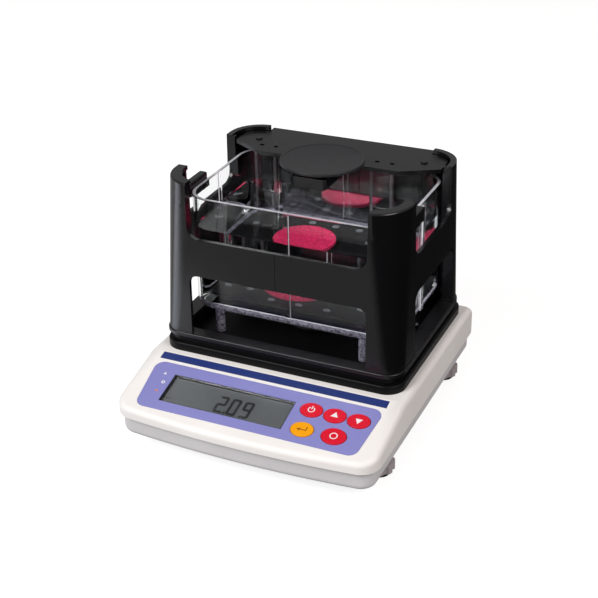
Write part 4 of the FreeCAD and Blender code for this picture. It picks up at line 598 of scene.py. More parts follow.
FINISHES: dict[Look, Finish] = {
    Look.COVER: Moulded(paint(246, 243, 240), paint(240, 236, 233), 0.42, 0.3),
    Look.CASE: Moulded(paint(216, 214, 216), paint(207, 204, 207), 0.46, 0.3),
    Look.PANEL: PrintedFilm(paint(139, 139, 202), paint(133, 134, 197)),
    Look.TITLE: PrintedFilm(paint(38, 56, 122), paint(34, 51, 113), 0.34),
    Look.FRAME: Moulded(paint(12, 12, 14), paint(9, 9, 11), 0.2, 0.5, 1300.0, 0.005 * MM,
                        0.071, 0.14),
    Look.PLATE: Moulded(paint(14, 14, 16), paint(11, 11, 13), 0.3, 0.4, 1500.0, 0.008 * MM),
    Look.DISH: Moulded(paint(36, 36, 39), paint(31, 31, 34), 0.42, 0.4, 1700.0, 0.02 * MM),
    Look.TANK: Clear((0.965, 0.985, 0.985, 1.0)),
    Look.HANGER: Clear((0.95, 0.97, 0.98, 1.0), ripple=0.006 * MM, haze=0.03),
    Look.PANE: Clear((0.95, 0.955, 0.96, 1.0), 1.2, 0.002 * MM, haze=0.02),
    Look.DISPLAY: LiquidCrystal(paint(55, 58, 59), paint(64, 67, 69), -0.094, -0.068),
    Look.KEY_RED: Moulded(paint(224, 24, 50), paint(212, 20, 44), 0.36, 0.22, 1800.0, 0.01 * MM),
    Look.KEY_YELLOW: Moulded(paint(250, 172, 14), paint(244, 160, 10), 0.36, 0.22, 1800.0,
                             0.01 * MM),
    Look.PIP: Moulded(paint(104, 108, 112), paint(86, 90, 95), 0.4, 0.4),
    Look.SAMPLE: Rubber(paint(228, 44, 100), paint(176, 22, 72), 0.5, 520.0, 0.4 * MM),
    Look.WHEEL: Moulded(paint(172, 165, 166), paint(160, 153, 154), 0.5, 0.3),
    Look.PAD: Rubber(paint(48, 47, 48), paint(38, 37, 38), 0.8, 1200.0),
    Look.BOARD: SolderMask(paint(24, 92, 58), paint(58, 132, 78)),
    Look.COMPONENT: Moulded(paint(30, 31, 34), paint(40, 41, 44), 0.5, 0.4, 2200.0),
    Look.CELL: Metal(paint(196, 198, 201), paint(172, 175, 180)),
    Look.STEEL_PLATE: Metal(paint(176, 178, 182), paint(150, 153, 158), 0.4, (40.0, 1.0, 1.0)),
    Look.SCREW: Metal(paint(188, 190, 194), paint(160, 163, 168), 0.3, (1.0, 1.0, 30.0)),
    Look.INSERT: Metal(paint(208, 172, 96), paint(186, 148, 76), 0.3, (1.0, 1.0, 30.0)),
    Look.CABLE: FlatCable(paint(150, 152, 156), paint(96, 98, 102)),
    Look.WATER: Clear((0.87, 0.9, 0.915, 1.0), 1.333, 0.02 * MM, 26.0, 0.004),
    Look.WET_HANGER: Clear((0.95, 0.97, 0.98, 1.0), 1.118, 0.004 * MM, haze=0.02),
    Look.DIGIT: Ink(paint(13, 16, 17), paint(9, 12, 13)),
    # Painted highlights and glints on narrow edges of clear pieces.
    Look.EDGE: PaintedEdgeHighlight((0.9, 0.9, 0.95, 1.0), (0.6, 0.6, 0.66, 1.0), 0.2),
    Look.FAINT_EDGE: PaintedEdgeHighlight((0.3, 0.3, 0.33, 1.0), (0.12, 0.12, 0.14, 1.0), 0.8),
    Look.FOOT_EDGE: PaintedEdgeHighlight((0.62, 0.6, 0.72, 1.0), (0.1, 0.09, 0.13, 1.0), 0.4, 420.0),
    Look.WET_PLATE: Moulded(paint(22, 22, 24), paint(17, 17, 19), 0.6, 0.08),
    Look.TRAY: Moulded(paint(10, 10, 11), paint(7, 7, 8), 0.4, 0.14, 1300.0, 0.012 * MM),
    Look.MARK_WHITE: Ink(paint(244, 240, 240), paint(232, 227, 229)),
    Look.MARK_BROWN: Ink(paint(150, 88, 22), paint(138, 78, 18)),
    Look.MARK_ORANGE: Ink(paint(240, 140, 40), paint(232, 128, 30)),
}


# ---- shapes
DOUBLES = 0.002                 # millimetres within which two vertices are one
FLAT_ANGLE = math.radians(0.03)     # faces that turn less than this are one
STEEP = 0.9                     # upright part of a direction that counts as upright
STRIP_WIDTH = 2.8 * MM          # widest face that counts as a narrow strip
SQUARE = 0.99                   # part of a direction that counts as square to a wall
ON_PLANE = 1e-7                 # metres within which a vertex lies on a cut
FaceTest = Callable[[BMFace], bool]
Accents = dict[Look, FaceTest]


def merged_copy(node: str) -> BMesh:
    """Copies a node of the frame as one joined skin.

    Args:
        node: Name of the node.

    Returns:
        Its shape in metres, with doubles merged and flat faces in one piece.
    """
    shape = bmesh.new()
    shape.from_mesh(frame["nodes"][node].data)
    for layers in (shape.loops.layers, shape.verts.layers, shape.edges.layers, shape.faces.layers):
        for group in (layers.float, layers.float_vector, layers.int, layers.bool):
            for layer in list(group.values()):
                group.remove(layer)
    bmesh.ops.remove_doubles(shape, verts=shape.verts[:], dist=DOUBLES * MM)
    bmesh.ops.dissolve_limit(shape, angle_limit=FLAT_ANGLE, use_dissolve_boundaries=False,
                             verts=shape.verts[:], edges=shape.edges[:], delimit=set())
    return shape


def move(shape: BMesh, matrix: Matrix, verts: Iterable[BMVert] | None = None) -> None:
    """Moves the given vertices of a shape, or all of them."""
    bmesh.ops.transform(shape, matrix=matrix, verts=list(verts or shape.verts))


def to_metres(shape: BMesh, matrix: Matrix = Matrix.Identity(4)) -> None:
    """Places a shape that was drawn in millimetres, and turns it into metres."""
    move(shape, Matrix.Scale(MM, 4) @ matrix)


def turn_out(shape: BMesh) -> None:
    """Makes all faces of a shape point outwards."""
    bmesh.ops.recalc_face_normals(shape, faces=shape.faces[:])


def add_block(shape: BMesh, low: Point | Vector, high: Point | Vector) -> list[BMVert]:
    """Adds a block between two corners.

    Args:
        shape: The shape that grows.
        low: Its lowest corner.
        high: Its highest corner.

    Returns:
        The block's vertices.
    """
    span, middle = Vector(high) - Vector(low), (Vector(high) + Vector(low)) / 2
    matrix = Matrix.Translation(middle) @ Matrix.Diagonal((*span, 1.0))
    return bmesh.ops.create_cube(shape, size=1.0, matrix=matrix)["verts"]


def edges_of(verts: Iterable[BMVert], wanted: Callable[[BMEdge], bool]) -> list[BMEdge]:
    """Lists the edges between the given vertices that pass a test.

    Args:
        verts: The vertices.
        wanted: The test.

    Returns:
        The edges, in the order of their numbers.
    """
    inside = set(verts)
    found = {edge for vert in inside for edge in vert.link_edges}
    return sorted((edge for edge in found if inside.issuperset(edge.verts) and wanted(edge)),
                  key=lambda edge: edge.index)


def is_upright(edge: BMEdge) -> bool:
    """Says whether an edge stands upright."""
    run = edge.verts[1].co - edge.verts[0].co
    return abs(run.z) > STEEP * run.length


def bevel(shape: BMesh, edges: list[BMEdge], width: float, segments: int) -> dict:
    """Rounds edges with a quarter-round profile, or cuts them flat with one segment."""
    return bmesh.ops.bevel(shape, geom=edges, offset=width, segments=segments, profile=0.5,
                           affect="EDGES", material=-1, clamp_overlap=True)


def rounded_corner(radius: float, height: float, size: float, start: float,
                   steps: int = 5) -> list[Place]:
    """Gives points of a quarter-round for a turned profile.

    Args:
        radius: Radius at the middle of the quarter-round.
        height: Height at its middle.
        size: Its own radius.
        start: Angle of its first point in degrees; it runs on for 90 degrees.
        steps: Chords in it.

    Returns:
        The points.
    """
    angles = [math.radians(start + 90 * step / steps) for step in range(steps + 1)]
    return [(radius + size * math.cos(a), height + size * math.sin(a)) for a in angles]


def is_narrow(face: BMFace) -> bool:
    """Says whether a face is a long thin strip."""
    return face.calc_area() < STRIP_WIDTH * max(edge.calc_length() for edge in face.edges)


@dataclass(frozen=True)
class Easing:
    """How the sharp edges of a moulded piece are eased: a width in millimetres and its steps."""

    width: float = 0.3
    segments: int = 2
    angle: float = 38.0

    def apply(self, piece: bpy.types.Object) -> None:
        """Adds the modifiers that ease the edges.

        Args:
            piece: The piece that they shape.
        """
        rounding = piece.modifiers.new("eased_edges", "BEVEL")
        rounding.width = self.width * MM
        rounding.segments = self.segments
        rounding.limit_method = "ANGLE"
        rounding.angle_limit = math.radians(self.angle)
        rounding.miter_outer = "MITER_ARC"
        weights = piece.modifiers.new("even_normals", "WEIGHTED_NORMAL")
        weights.keep_sharp = True
        weights.mode = "FACE_AREA"


@cache
def material_of(look: Look) -> bpy.types.Material:
    """Gives the material of a look, which is made when it is first asked for.

    Args:
        look: The finish.

    Returns:
        The material, with its nodes drawn.
    """
    made = bpy.data.materials.new(look.value)
    graph = Graph(made)
    graph.finish(FINISHES[look].draw(graph))
    return made


def add_object(name: str, data: bpy.types.ID) -> bpy.types.Object:
    """Adds an object to the scene.

    Args:
        name: Its name.
        data: Its mesh, lamp or camera.

    Returns:
        The object, at the origin.
    """
    made = bpy.data.objects.new(name, data)
    bpy.context.scene.collection.objects.link(made)
    return made


class Assembly:
    """A part of the object that dresses nodes of the frame or replaces them by finer pieces."""

    def build(self) -> None:
        """Builds the pieces."""
        raise NotImplementedError

    def dress(self, node: str, look: Look) -> None:
        """Gives a node of the frame its finish and leaves its shape.

        Args:
            node: Name of the node.
            look: Its finish.
        """
        piece = frame["nodes"][node]
        if not piece.material_slots:
            piece.data.materials.append(None)
        for slot in piece.material_slots:
            slot.material = material_of(look)
        LOG.info("dressed %s in %s", node, look.value)

    def piece(self, name: str, shape: BMesh, look: Look, body: str, slot: Look | None = None,
              stands_for: Iterable[str] = (), crease: float = 30.0,
              easing: Easing | None = None, accents: Accents | None = None) -> None:
        """Makes a finished piece from a shape in metres.

        Args:
            name: Name of the piece.
            shape: Its shape, which is used up.
            look: Its finish.
            body: The body that it moves with.
            slot: A slot of the record, where that isn't its look's; not used.
            stands_for: Nodes of the frame that it replaces.
            crease: Angle in degrees above which an edge stays sharp.
            easing: How its sharp edges are eased, or nothing.
            accents: Finishes of single faces, each with its test for a face.
        """
        mesh = bpy.data.meshes.new(name)
        mesh.materials.append(material_of(look))
        for index, (accent, wears) in enumerate((accents or {}).items(), start=1):
            mesh.materials.append(material_of(accent))
            for face in filter(wears, shape.faces):
                face.material_index = index
        shape.to_mesh(mesh)
        shape.free()
        mesh.shade_smooth()
        mesh.set_sharp_from_angle(angle=math.radians(crease))
        made = add_object(name, mesh)
        if easing:
            easing.apply(made)
        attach(made, body)
        if stands_for:
            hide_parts(*stands_for)
        LOG.info("built %s on %s", name, body)

    def renew(self, node: str, look: Look, easing: Easing | None = Easing(), **how: object) -> None:
        """Replaces a node of the frame by a joined copy with eased edges.

        Args:
            node: Name of the node.
            look: Its finish.
            easing: How its sharp edges are eased, or nothing.
            how: What else piece is told about it.
        """
        body = frame["nodes"][node]["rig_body"]
        self.piece(f"{node}_finished", merged_copy(node), look, body, stands_for=[node],
                   easing=easing, **how)


# ---- sub-assemblies
CORNERS = ("front_left", "front_right", "rear_left", "rear_right")


@dataclass(frozen=True)
class PanelPlane:
    """The sloped plane of the key panel: x to the right, y up the slope, z out of the panel."""

    fold_y: float = -47.5
    fold_z: float = 52.0
    slope: float = 14.0

    def matrix(self) -> Matrix:
        """Gives the place of the plane in millimetres."""
        fold = Matrix.Translation((0.0, self.fold_y, self.fold_z))
        return fold @ Matrix.Rotation(math.radians(self.slope), 4, "X")


@dataclass
class Housing(Assembly):
    """Lower case, upper cover, title strip and panel film."""

    case_easing: Easing = Easing(0.35)
    sheet_easing: Easing = Easing(0.12, 1)

    def build(self) -> None:
        """Builds the pieces."""
        self.renew("lower_case", Look.CASE, self.case_easing)
        self.renew("upper_cover", Look.COVER, self.case_easing)
        self.renew("panel_overlay", Look.PANEL, self.sheet_easing)
        self.renew("title_strip", Look.TITLE, self.sheet_easing)


class Bar(Enum):
    """The seven bars of a digit: middle across, middle up, and whether the bar lies across."""

    TOP = (0.0, 1.0, True)
    MIDDLE = (0.0, 0.0, True)
    BOTTOM = (0.0, -1.0, True)
    UPPER_LEFT = (-1.0, 0.5, False)
    UPPER_RIGHT = (1.0, 0.5, False)
    LOWER_LEFT = (-1.0, -0.5, False)
    LOWER_RIGHT = (1.0, -0.5, False)


DIGITS: dict[str, tuple[Bar, ...]] = {
    "2": (Bar.TOP, Bar.UPPER_RIGHT, Bar.MIDDLE, Bar.LOWER_LEFT, Bar.BOTTOM),
    "0": (Bar.TOP, Bar.UPPER_LEFT, Bar.UPPER_RIGHT, Bar.LOWER_LEFT, Bar.LOWER_RIGHT, Bar.BOTTOM),
    "9": (Bar.TOP, Bar.UPPER_LEFT, Bar.UPPER_RIGHT, Bar.MIDDLE, Bar.LOWER_RIGHT, Bar.BOTTOM),
}


@dataclass
class Display(Assembly):
    """Window, frame and liquid-crystal module, with the reading that it shows."""

    plane: PanelPlane = PanelPlane()
    reading: str = "2.09"
    start_x: float = -28.3
    middle_y: float = -36.7
    digit_width: float = 7.4
    digit_height: float = 15.8
    pitch: float = 9.9
    stroke: float = 2.05
    point_share: float = 0.96
    overlap: float = 0.72
    slant: float = 1.0
    surface: float = -2.4
    thickness: float = 0.12
    sign_place: Place = (-64.7, -42.0)
    sign_size: Place = (3.2, 0.8)

    def build(self) -> None:
        """Builds the pieces."""
        self.renew("display_frame", Look.FRAME, Easing(0.2))
        self.renew("display_window", Look.PANE, Easing(0.15))
        self.dress("lcd_module", Look.DISPLAY)
        self._add_reading()

    def _add_slab(self, shape: BMesh, middle: Place, size: Place) -> list[BMVert]:
        """Adds a flat block on the display's surface.

        Args:
            shape: The shape that grows.
            middle: Middle of the block.
            size: Its length and width.

        Returns:
            Its vertices.
        """
        (x, y), (length, width) = middle, size
        return add_block(shape, (x - length / 2, y - width / 2, self.surface),
                         (x + length / 2, y + width / 2, self.surface + self.thickness))

    def _add_bar(self, shape: BMesh, place: Place, length: float, across: bool) -> None:
        """Adds one bar with pointed ends.

        Args:
            shape: The shape that grows.
            place: Middle of the bar.
            length: Its length.
            across: Whether it lies across the digit.
        """
        verts = self._add_slab(shape, (0.0, 0.0), (length, self.stroke))
        shape.edges.index_update()
        ends = bevel(shape, edges_of(verts, is_upright), self.stroke / 2 * self.point_share, 1)
        moved = {*ends["verts"], *(vert for face in ends["faces"] for vert in face.verts)}
        turn = Matrix.Rotation(0.0 if across else math.pi / 2, 4, "Z")
        move(shape, Matrix.Translation((*place, 0.0)) @ turn, moved)

    def _add_reading(self) -> None:
        """Adds the bars of the digits, the point and the sign as one piece."""
        shape = bmesh.new()
        half_width = (self.digit_width - self.stroke) / 2
        half_height = (self.digit_height - self.stroke) / 2
        x = self.start_x
        for letter in self.reading:
            if letter == ".":
                point_x = x - (self.pitch - self.digit_width) / 2
                self._add_slab(shape, (point_x, -half_height), (self.stroke, self.stroke))
                continue
            middle = x + self.digit_width / 2
            for bar in DIGITS[letter]:
                across, up, lies = bar.value
                length = (2 * half_width if lies else half_height) + self.stroke * self.overlap
                self._add_bar(shape, (middle + across * half_width, up * half_height), length, lies)
            x += self.pitch
        lean = Matrix.Identity(4)
        lean[0][1] = math.tan(math.radians(self.slant))
        move(shape, Matrix.Translation((0, self.middle_y, 0)) @ lean)
        self._add_slab(shape, self.sign_place, self.sign_size)
        to_metres(shape, self.plane.matrix())
        self.piece("display_reading", shape, Look.DIGIT, "base", slot=Look.COMPONENT)


class Mark(Enum):
    """Symbols on the keys and beside the display."""

    POWER = "power"
    UP = "up"
    DOWN = "down"
    ENTER = "enter"
    ZERO = "zero"
    DOT = "dot"


@dataclass(frozen=True)
class Sign:
    """A printed symbol: where it is, how large, its ink, and a slot of the record."""

    name: str
    x: float
    y: float
    mark: Mark
    size: float = 3.1
    look: Look = Look.MARK_WHITE
    slot: Look = Look.PIP


@dataclass
class Keypad(Assembly):
    """Five domed keys, their symbols and the small signs beside the display."""

    plane: PanelPlane = PanelPlane()
    keys: tuple[Sign, ...] = (
        Sign("on_off", 40.0, -25.0, Mark.POWER),
        Sign("up", 57.6, -25.3, Mark.UP),
        Sign("down", 75.2, -25.3, Mark.DOWN),
        Sign("enter", 40.8, -43.6, Mark.ENTER, look=Look.MARK_BROWN),
        Sign("zero", 64.0, -43.2, Mark.ZERO),
    )
    signs: tuple[Sign, ...] = (
        Sign("triangle", -77.0, -22.2, Mark.UP, 1.5),
        Sign("ring", -74.4, -30.4, Mark.ZERO, 1.3125),
        Sign("dot", -75.2, -39.4, Mark.DOT, 1.5, Look.MARK_ORANGE, Look.KEY_YELLOW),
    )
    key_top: float = 0.8
    film_top: float = 0.1
    mark_height: float = 0.12
    mark_sink: float = 0.06
    line: float = 0.75

    def build(self) -> None:
        """Builds the pieces."""
        for key in self.keys:
            colour = Look.KEY_YELLOW if key.look is Look.MARK_BROWN else Look.KEY_RED
            self.renew(f"key_{key.name}", colour, Easing(0.25, 3))
            self._add_sign(key, f"mark_{key.name}", self.key_top, f"key_{key.name}_body")
        for sign in self.signs:
            self._add_sign(sign, f"sign_{sign.name}", self.film_top, "base")

    def _add_sign(self, sign: Sign, name: str, top: float, body: str) -> None:
        """Adds one symbol.

        Args:
            sign: The symbol.
            name: Name of its piece.
            top: Height of the face that it is printed on.
            body: The body that it moves with.
        """
        shape = bmesh.new()
        self._draw(shape, sign.mark, sign.size)
        place = Matrix.Translation((sign.x, sign.y, top - self.mark_sink))
        to_metres(shape, self.plane.matrix() @ place)
        self.piece(name, shape, sign.look, body, slot=sign.slot)

    def _draw(self, shape: BMesh, mark: Mark, size: float) -> None:
        """Draws one symbol round the origin, with its parts as shares of its size.

        Args:
            shape: The shape that grows.
            mark: The symbol.
            size: Its size.
        """
        if mark is Mark.POWER:
            self._ring(shape, size * 0.72, 300.0, 120.0)
            self._stroke(shape, (0.0, size * 0.2), (0.0, size))
        elif mark is Mark.UP:
            self._arrow(shape, (0.0, 0.0), size, 90.0)
        elif mark is Mark.DOWN:
            self._arrow(shape, (0.0, 0.0), size, -90.0)
        elif mark is Mark.ENTER:
            self._stroke(shape, (size, -size * 0.2), (size, size * 0.75))
            self._stroke(shape, (-size * 0.3, -size * 0.2), (size, -size * 0.2))
            self._arrow(shape, (-size * 0.7, -size * 0.2), size * 0.55, 180.0)
        elif mark is Mark.ZERO:
            self._ring(shape, size * 0.8)
        else:
            bmesh.ops.create_cone(shape, cap_ends=True, segments=28, radius1=size * 0.62,
                                  radius2=size * 0.56, depth=self.mark_height,
                                  matrix=Matrix.Translation((0.0, 0.0, self.mark_height / 2)))

    def _ring(self, shape: BMesh, radius: float, sweep: float = 360.0, start: float = 0.0) -> None:
        """Adds a flat ring, or a part of one.

        Args:
            shape: The shape that grows.
            radius: Its middle radius.
            sweep: How many degrees it runs.
            start: Angle of its first end in degrees.
        """
        inner, outer = radius - self.line / 2, radius + self.line / 2
        corners = ((inner, 0.0), (outer, 0.0), (outer, self.mark_height), (inner, self.mark_height))
        turn = Matrix.Rotation(math.radians(start), 3, "Z")
        section = shape.faces.new([shape.verts.new(turn @ Vector((x, 0.0, z))) for x, z in corners])
        whole = sweep >= 360.0
        bmesh.ops.spin(shape, geom=[section], cent=(0, 0, 0), axis=(0, 0, 1),
                       angle=math.radians(sweep), steps=40, use_merge=whole)
        if whole:
            bmesh.ops.delete(shape, geom=[section], context="FACES_ONLY")
        turn_out(shape)

    def _stroke(self, shape: BMesh, start: Place, end: Place) -> None:
        """Adds a straight line from its lowest and leftmost end."""
        half = Vector((self.line / 2, self.line / 2, 0.0))
        add_block(shape, Vector((*start, 0.0)) - half, Vector((*end, self.mark_height)) + half)

    def _arrow(self, shape: BMesh, place: Place, size: float, heading: float) -> None:
        """Adds a filled triangle.

        Args:
            shape: The shape that grows.
            place: Its middle.
            size: Distance of its points from its middle.
            heading: Where its first point lies, in degrees.
        """
        turn = Matrix.Rotation(math.radians(heading - 90), 4, "Z")
        made = bmesh.ops.create_circle(shape, cap_ends=True, radius=size, segments=3,
                                       matrix=Matrix.Translation((*place, 0.0)) @ turn)
        faces = list({face for vert in made["verts"] for face in vert.link_faces})
        raised = bmesh.ops.extrude_face_region(shape, geom=faces)["geom"]
        tops = [corner for corner in raised if isinstance(corner, BMVert)]
        bmesh.ops.translate(shape, vec=(0, 0, self.mark_height), verts=tops)
        turn_out(shape)


@dataclass
class Feet(Assembly):
    """Four levelling feet: a lobed thumb wheel on a stud, and a rubber pad."""

    wheel_easing: Easing = Easing(0.3, 3)

    def build(self) -> None:
        """Builds the pieces."""
        for corner in CORNERS:
            self.renew(f"foot_wheel_{corner}", Look.WHEEL, self.wheel_easing)
            self.renew(f"foot_pad_{corner}", Look.PAD, None)


@dataclass
class Interior(Assembly):
    """Boards, cables, jack, load cell and screws inside the case, which keep their shape."""

    nodes: tuple[tuple[Look, tuple[str, ...]], ...] = (
        (Look.BOARD, ("key_board", "main_board")),
        (Look.COMPONENT, ("key_switches", "board_components", "dc_jack")),
        (Look.CABLE, ("ribbon_cable", "sensor_cable")),
        (Look.INSERT, ("foot_inserts",)),
        (Look.CELL, ("load_cell", "spindle")),
        (Look.STEEL_PLATE, ("load_cell_plate",)),
        (Look.SCREW, ("overload_stop", "board_screws", "case_screws", "frame_screws")),
        (Look.FRAME, ("tray_screws",)),
    )

    def build(self) -> None:
        """Dresses the nodes."""
        for look, names in self.nodes:
            for name in names:
                self.dress(name, look)


@dataclass
class Surround(Assembly):
    """Tray, four corner pieces of the black frame, tank guides and tank supports."""

    easing: Easing = Easing(0.45, 3)
    small_easing: Easing = Easing(0.3)
    half_width: float = 93.3
    front_y: float = -43.3
    rear_y: float = 100.6
    side_seam_y: float = 29.5
    foot_z: float = 64.5
    wall: float = 2.6
    wall_inset: float = 0.9
    lean: float = 2.1 / 120.5
    belt: Place = (115.5, 144.0)
    rear_wall: Place = (67.6, 175.0)
    seal_width: float = 0.2
    seal_sink: float = 0.7
    seal_end: float = 0.4

    def build(self) -> None:
        """Builds the pieces."""
        self.renew("tray", Look.TRAY, self.easing, slot=Look.FRAME)
        for corner in CORNERS:
            self.renew(f"frame_{corner}", Look.FRAME, self.easing)
        self._add_seals()
        self.renew("tank_guides", Look.FRAME, self.small_easing)
        # The supports wear painted glints.
        self.renew("tank_supports", Look.FOOT_EDGE, self.small_easing, slot=Look.TANK)
        self.renew("weighing_platform", Look.FRAME, self.small_easing)

    def _add_seals(self) -> None:
        """Adds the dark strips inside the four seams of the frame, which keep the light out."""
        shape = bmesh.new()
        half = self.seal_width / 2
        leaning = Matrix.Identity(4)
        leaning[0][2] = -self.lean
        seams = ((-90.0, 0.0, -self.front_y, self.belt), (90.0, 0.0, self.rear_y, self.rear_wall),
                 (180.0, self.side_seam_y, self.half_width, self.belt),
                 (0.0, self.side_seam_y, self.half_width, self.belt))
        for heading, seam_y, reach, (low, high) in seams:
            face = reach - self.wall_inset + self.lean * self.foot_z
            verts = add_block(shape, (face - self.wall, -half, low + self.seal_end),
                              (face - self.seal_sink, half, high - self.seal_end))
            turn = Matrix.Rotation(math.radians(heading), 4, "Z")
            move(shape, Matrix.Translation((0.0, seam_y, 0.0)) @ turn @ leaning, verts)
        to_metres(shape)
        self.piece("frame_seals", shape, Look.TRAY, "base", slot=Look.FRAME)


@dataclass
class Tank(Assembly):
    """Clear water tank and the water in it."""

    half_width: float = 81.0
    front_y: float = -21.0
    rear_y: float = 87.0
    bottom_z: float = 75.7
    top_z: float = 166.0
    rim_depth: float = 0.2
    rib_y: float = 33.0
    rib_reach: float = 3.0
    foot_height: float = 8.0
    foot_slopes: Place = (0.12, 0.97)
    wall: float = 2.6
    floor: float = 3.0
    corner: float = 19.0
    corner_steps: int = 14
    inner_foot: float = 4.8
    gap: float = 0.25
    level: float = 142.0
    meniscus: float = 0.9
    meniscus_reach: float = 1.6
    meniscus_shares: tuple[float, ...] = (0.42, 0.12, 0.0)

    def build(self) -> None:
        """Builds the pieces."""
        # The rim and the rib sides wear a painted highlight, and the roundings at the foot painted
        # glints.
        accents = {Look.EDGE: self._wears_painted_highlight, Look.FOOT_EDGE: self._is_foot}
        self.renew("tank", Look.TANK, Easing(0.45, 3), crease=24.0, accents=accents)
        self._add_water()

    def _is_foot(self, face: BMFace) -> bool:
        """Says whether a face belongs to the roundings between the walls and the floor, which wear
        painted glints.
        """
        low = face.calc_center_median().z / MM < self.bottom_z + self.foot_height
        return low and self.foot_slopes[0] < abs(face.normal.z) < self.foot_slopes[1]

    def _wears_painted_highlight(self, face: BMFace) -> bool:
        """Says whether a face is the top of the wall or the side of a rib, which wear the painted
        highlight.

        Args:
            face: The face.

        Returns:
            Whether it is one of these.
        """
        middle = face.calc_center_median() / MM
        if face.normal.z > STEEP:
            return middle.z > self.top_z - self.rim_depth
        near_rib = min(abs(middle.x), abs(middle.y - self.rib_y)) < self.rib_reach
        square = max(abs(face.normal.x), abs(face.normal.y)) > SQUARE
        return near_rib and square and is_narrow(face)

    def _add_water(self) -> None:
        """Adds the water, which stands up a little where it meets the walls."""
        inset = self.wall + self.gap
        low = (inset - self.half_width, self.front_y + inset, self.bottom_z + self.floor + self.gap)
        high = (self.half_width - inset, self.rear_y - inset, self.level)
        shape = bmesh.new()
        add_block(shape, low, high)
        shape.edges.index_update()
        bevel(shape, edges_of(shape.verts, is_upright), self.corner - inset, self.corner_steps)
        shape.edges.index_update()
        foot_z = low[2] + self.gap
        bottom = edges_of(shape.verts, lambda edge: all(v.co.z < foot_z for v in edge.verts))
        bevel(shape, bottom, self.inner_foot, self.corner_steps // 2)
        top = [face for face in shape.faces if face.normal.z > STEEP]
        reach = self.meniscus_reach / len(self.meniscus_shares)
        for share in self.meniscus_shares:
            bmesh.ops.inset_region(shape, faces=top, thickness=reach, use_even_offset=True)
            inner = list({vert for face in top for vert in face.verts})
            lowest = min(vert.co.z for vert in inner)
            rise = self.level - self.meniscus * (1 - share) - lowest
            bmesh.ops.translate(shape, vec=(0, 0, rise), verts=inner)
        turn_out(shape)
        to_metres(shape)
        self.piece("water", shape, Look.WATER, "tank_body", slot=Look.TANK, crease=50.0)


@dataclass
class Stage(Assembly):
    """Top plate, weighing dish, hangers, immersed pan, legs and the screws that join them."""

    easing: Easing = Easing(0.25)
    hanger_split: float = 141.55
    split_gap: float = 0.02
    dish_y: float = 42.6
    dish_radius: float = 31.0
    dish_top: float = 183.5
    dish_thickness: float = 2.5
    dish_edge: float = 0.7
    dish_rim: float = 1.6
    dish_hollow: float = 0.5
    dish_steps: int = 128
    lip: Place = (0.15, 0.1)
    hollow_foot: Place = (0.35, 0.08)
    hub_radius: float = 9.0
    hub_bottom: float = 178.0
    hub_cut: float = 0.4
    spigot_radius: float = 4.0
    spigot_bottom: float = 173.0
    spigot_cut: float = 0.5

    def build(self) -> None:
        """Builds the pieces."""
        self.renew("top_plate", Look.PLATE, Easing(0.35, 3))
        self._add_dish()
        for side in ("left", "right"):
            self._add_hanger(f"hanger_{side}")
            self.renew(f"leg_{side}", Look.PLATE)
        self.renew("immersed_pan", Look.WET_PLATE, self.easing, slot=Look.PLATE)
        self.renew("pan_pips", Look.PIP, None)
        self.renew("stage_screws", Look.PLATE, Easing(0.25, 3))

    def _add_dish(self) -> None:
        """Turns the weighing dish with its shallow hollow, hub and spigot."""
        bottom, floor = self.dish_top - self.dish_thickness, self.dish_top - self.dish_hollow
        edge, inner = self.dish_edge, self.dish_radius - self.dish_rim
        profile = [(0.0, self.spigot_bottom),
                   (self.spigot_radius - self.spigot_cut, self.spigot_bottom),
                   (self.spigot_radius, self.spigot_bottom + self.spigot_cut),
                   (self.spigot_radius, self.hub_bottom),
                   (self.hub_radius - self.hub_cut, self.hub_bottom),
                   (self.hub_radius, self.hub_bottom + self.hub_cut), (self.hub_radius, bottom)]
        profile += rounded_corner(self.dish_radius - edge, bottom + edge, edge, -90.0)
        profile += rounded_corner(self.dish_radius - edge, self.dish_top - edge, edge, 0.0)
        profile += [(inner + self.lip[0], self.dish_top), (inner, self.dish_top - self.lip[1]),
                    (inner - self.hollow_foot[0], floor + self.hollow_foot[1]),
                    (inner - 2 * self.hollow_foot[0], floor), (0.0, floor)]
        shape = bmesh.new()
        verts = [shape.verts.new((radius, 0.0, height)) for radius, height in profile]
        edges = [shape.edges.new(pair) for pair in zip(verts, verts[1:])]
        bmesh.ops.spin(shape, geom=verts + edges, cent=(0, 0, 0), axis=(0, 0, 1), angle=math.tau,
                       steps=self.dish_steps, use_merge=True)
        bmesh.ops.remove_doubles(shape, verts=shape.verts[:], dist=DOUBLES)
        turn_out(shape)
        to_metres(shape, Matrix.Translation((0.0, self.dish_y, 0.0)))
        self.piece("weighing_dish", shape, Look.DISH, "dish_body", stands_for=["dish"],
                   crease=35.0)

    def _add_hanger(self, node: str) -> None:
        """Adds a clear hanger in two lengths, because the one in the water bends light less.

        Args:
            node: Name of the node that it replaces.
        """
        for name, look, dry in ((f"{node}_dry", Look.HANGER, True),
                                (f"{node}_wet", Look.WET_HANGER, False)):
            shape = merged_copy(node)
            level = (self.hanger_split + (self.split_gap if dry else -self.split_gap)) * MM
            cut = bmesh.ops.bisect_plane(
                shape, geom=shape.verts[:] + shape.edges[:] + shape.faces[:], dist=ON_PLANE,
                plane_co=(0, 0, level), plane_no=(0, 0, 1), clear_inner=dry, clear_outer=not dry)
            rim = [part for part in cut["geom_cut"] if isinstance(part, BMEdge)]
            bmesh.ops.holes_fill(shape, edges=rim, sides=0)
            turn_out(shape)
            # Narrow faces of the hanger wear a faint painted highlight.
            self.piece(name, shape, look, "stage", slot=Look.HANGER,
                       stands_for=[node] if dry else (), easing=self.easing,
                       accents={Look.FAINT_EDGE: is_narrow})


@dataclass
class Sample(Assembly):
    """Round rubber sample on the immersed pan."""

    easing: Easing = Easing(0.8, 4)

    def build(self) -> None:
        """Builds the piece."""
        self.renew("sample_disc", Look.SAMPLE, self.easing)


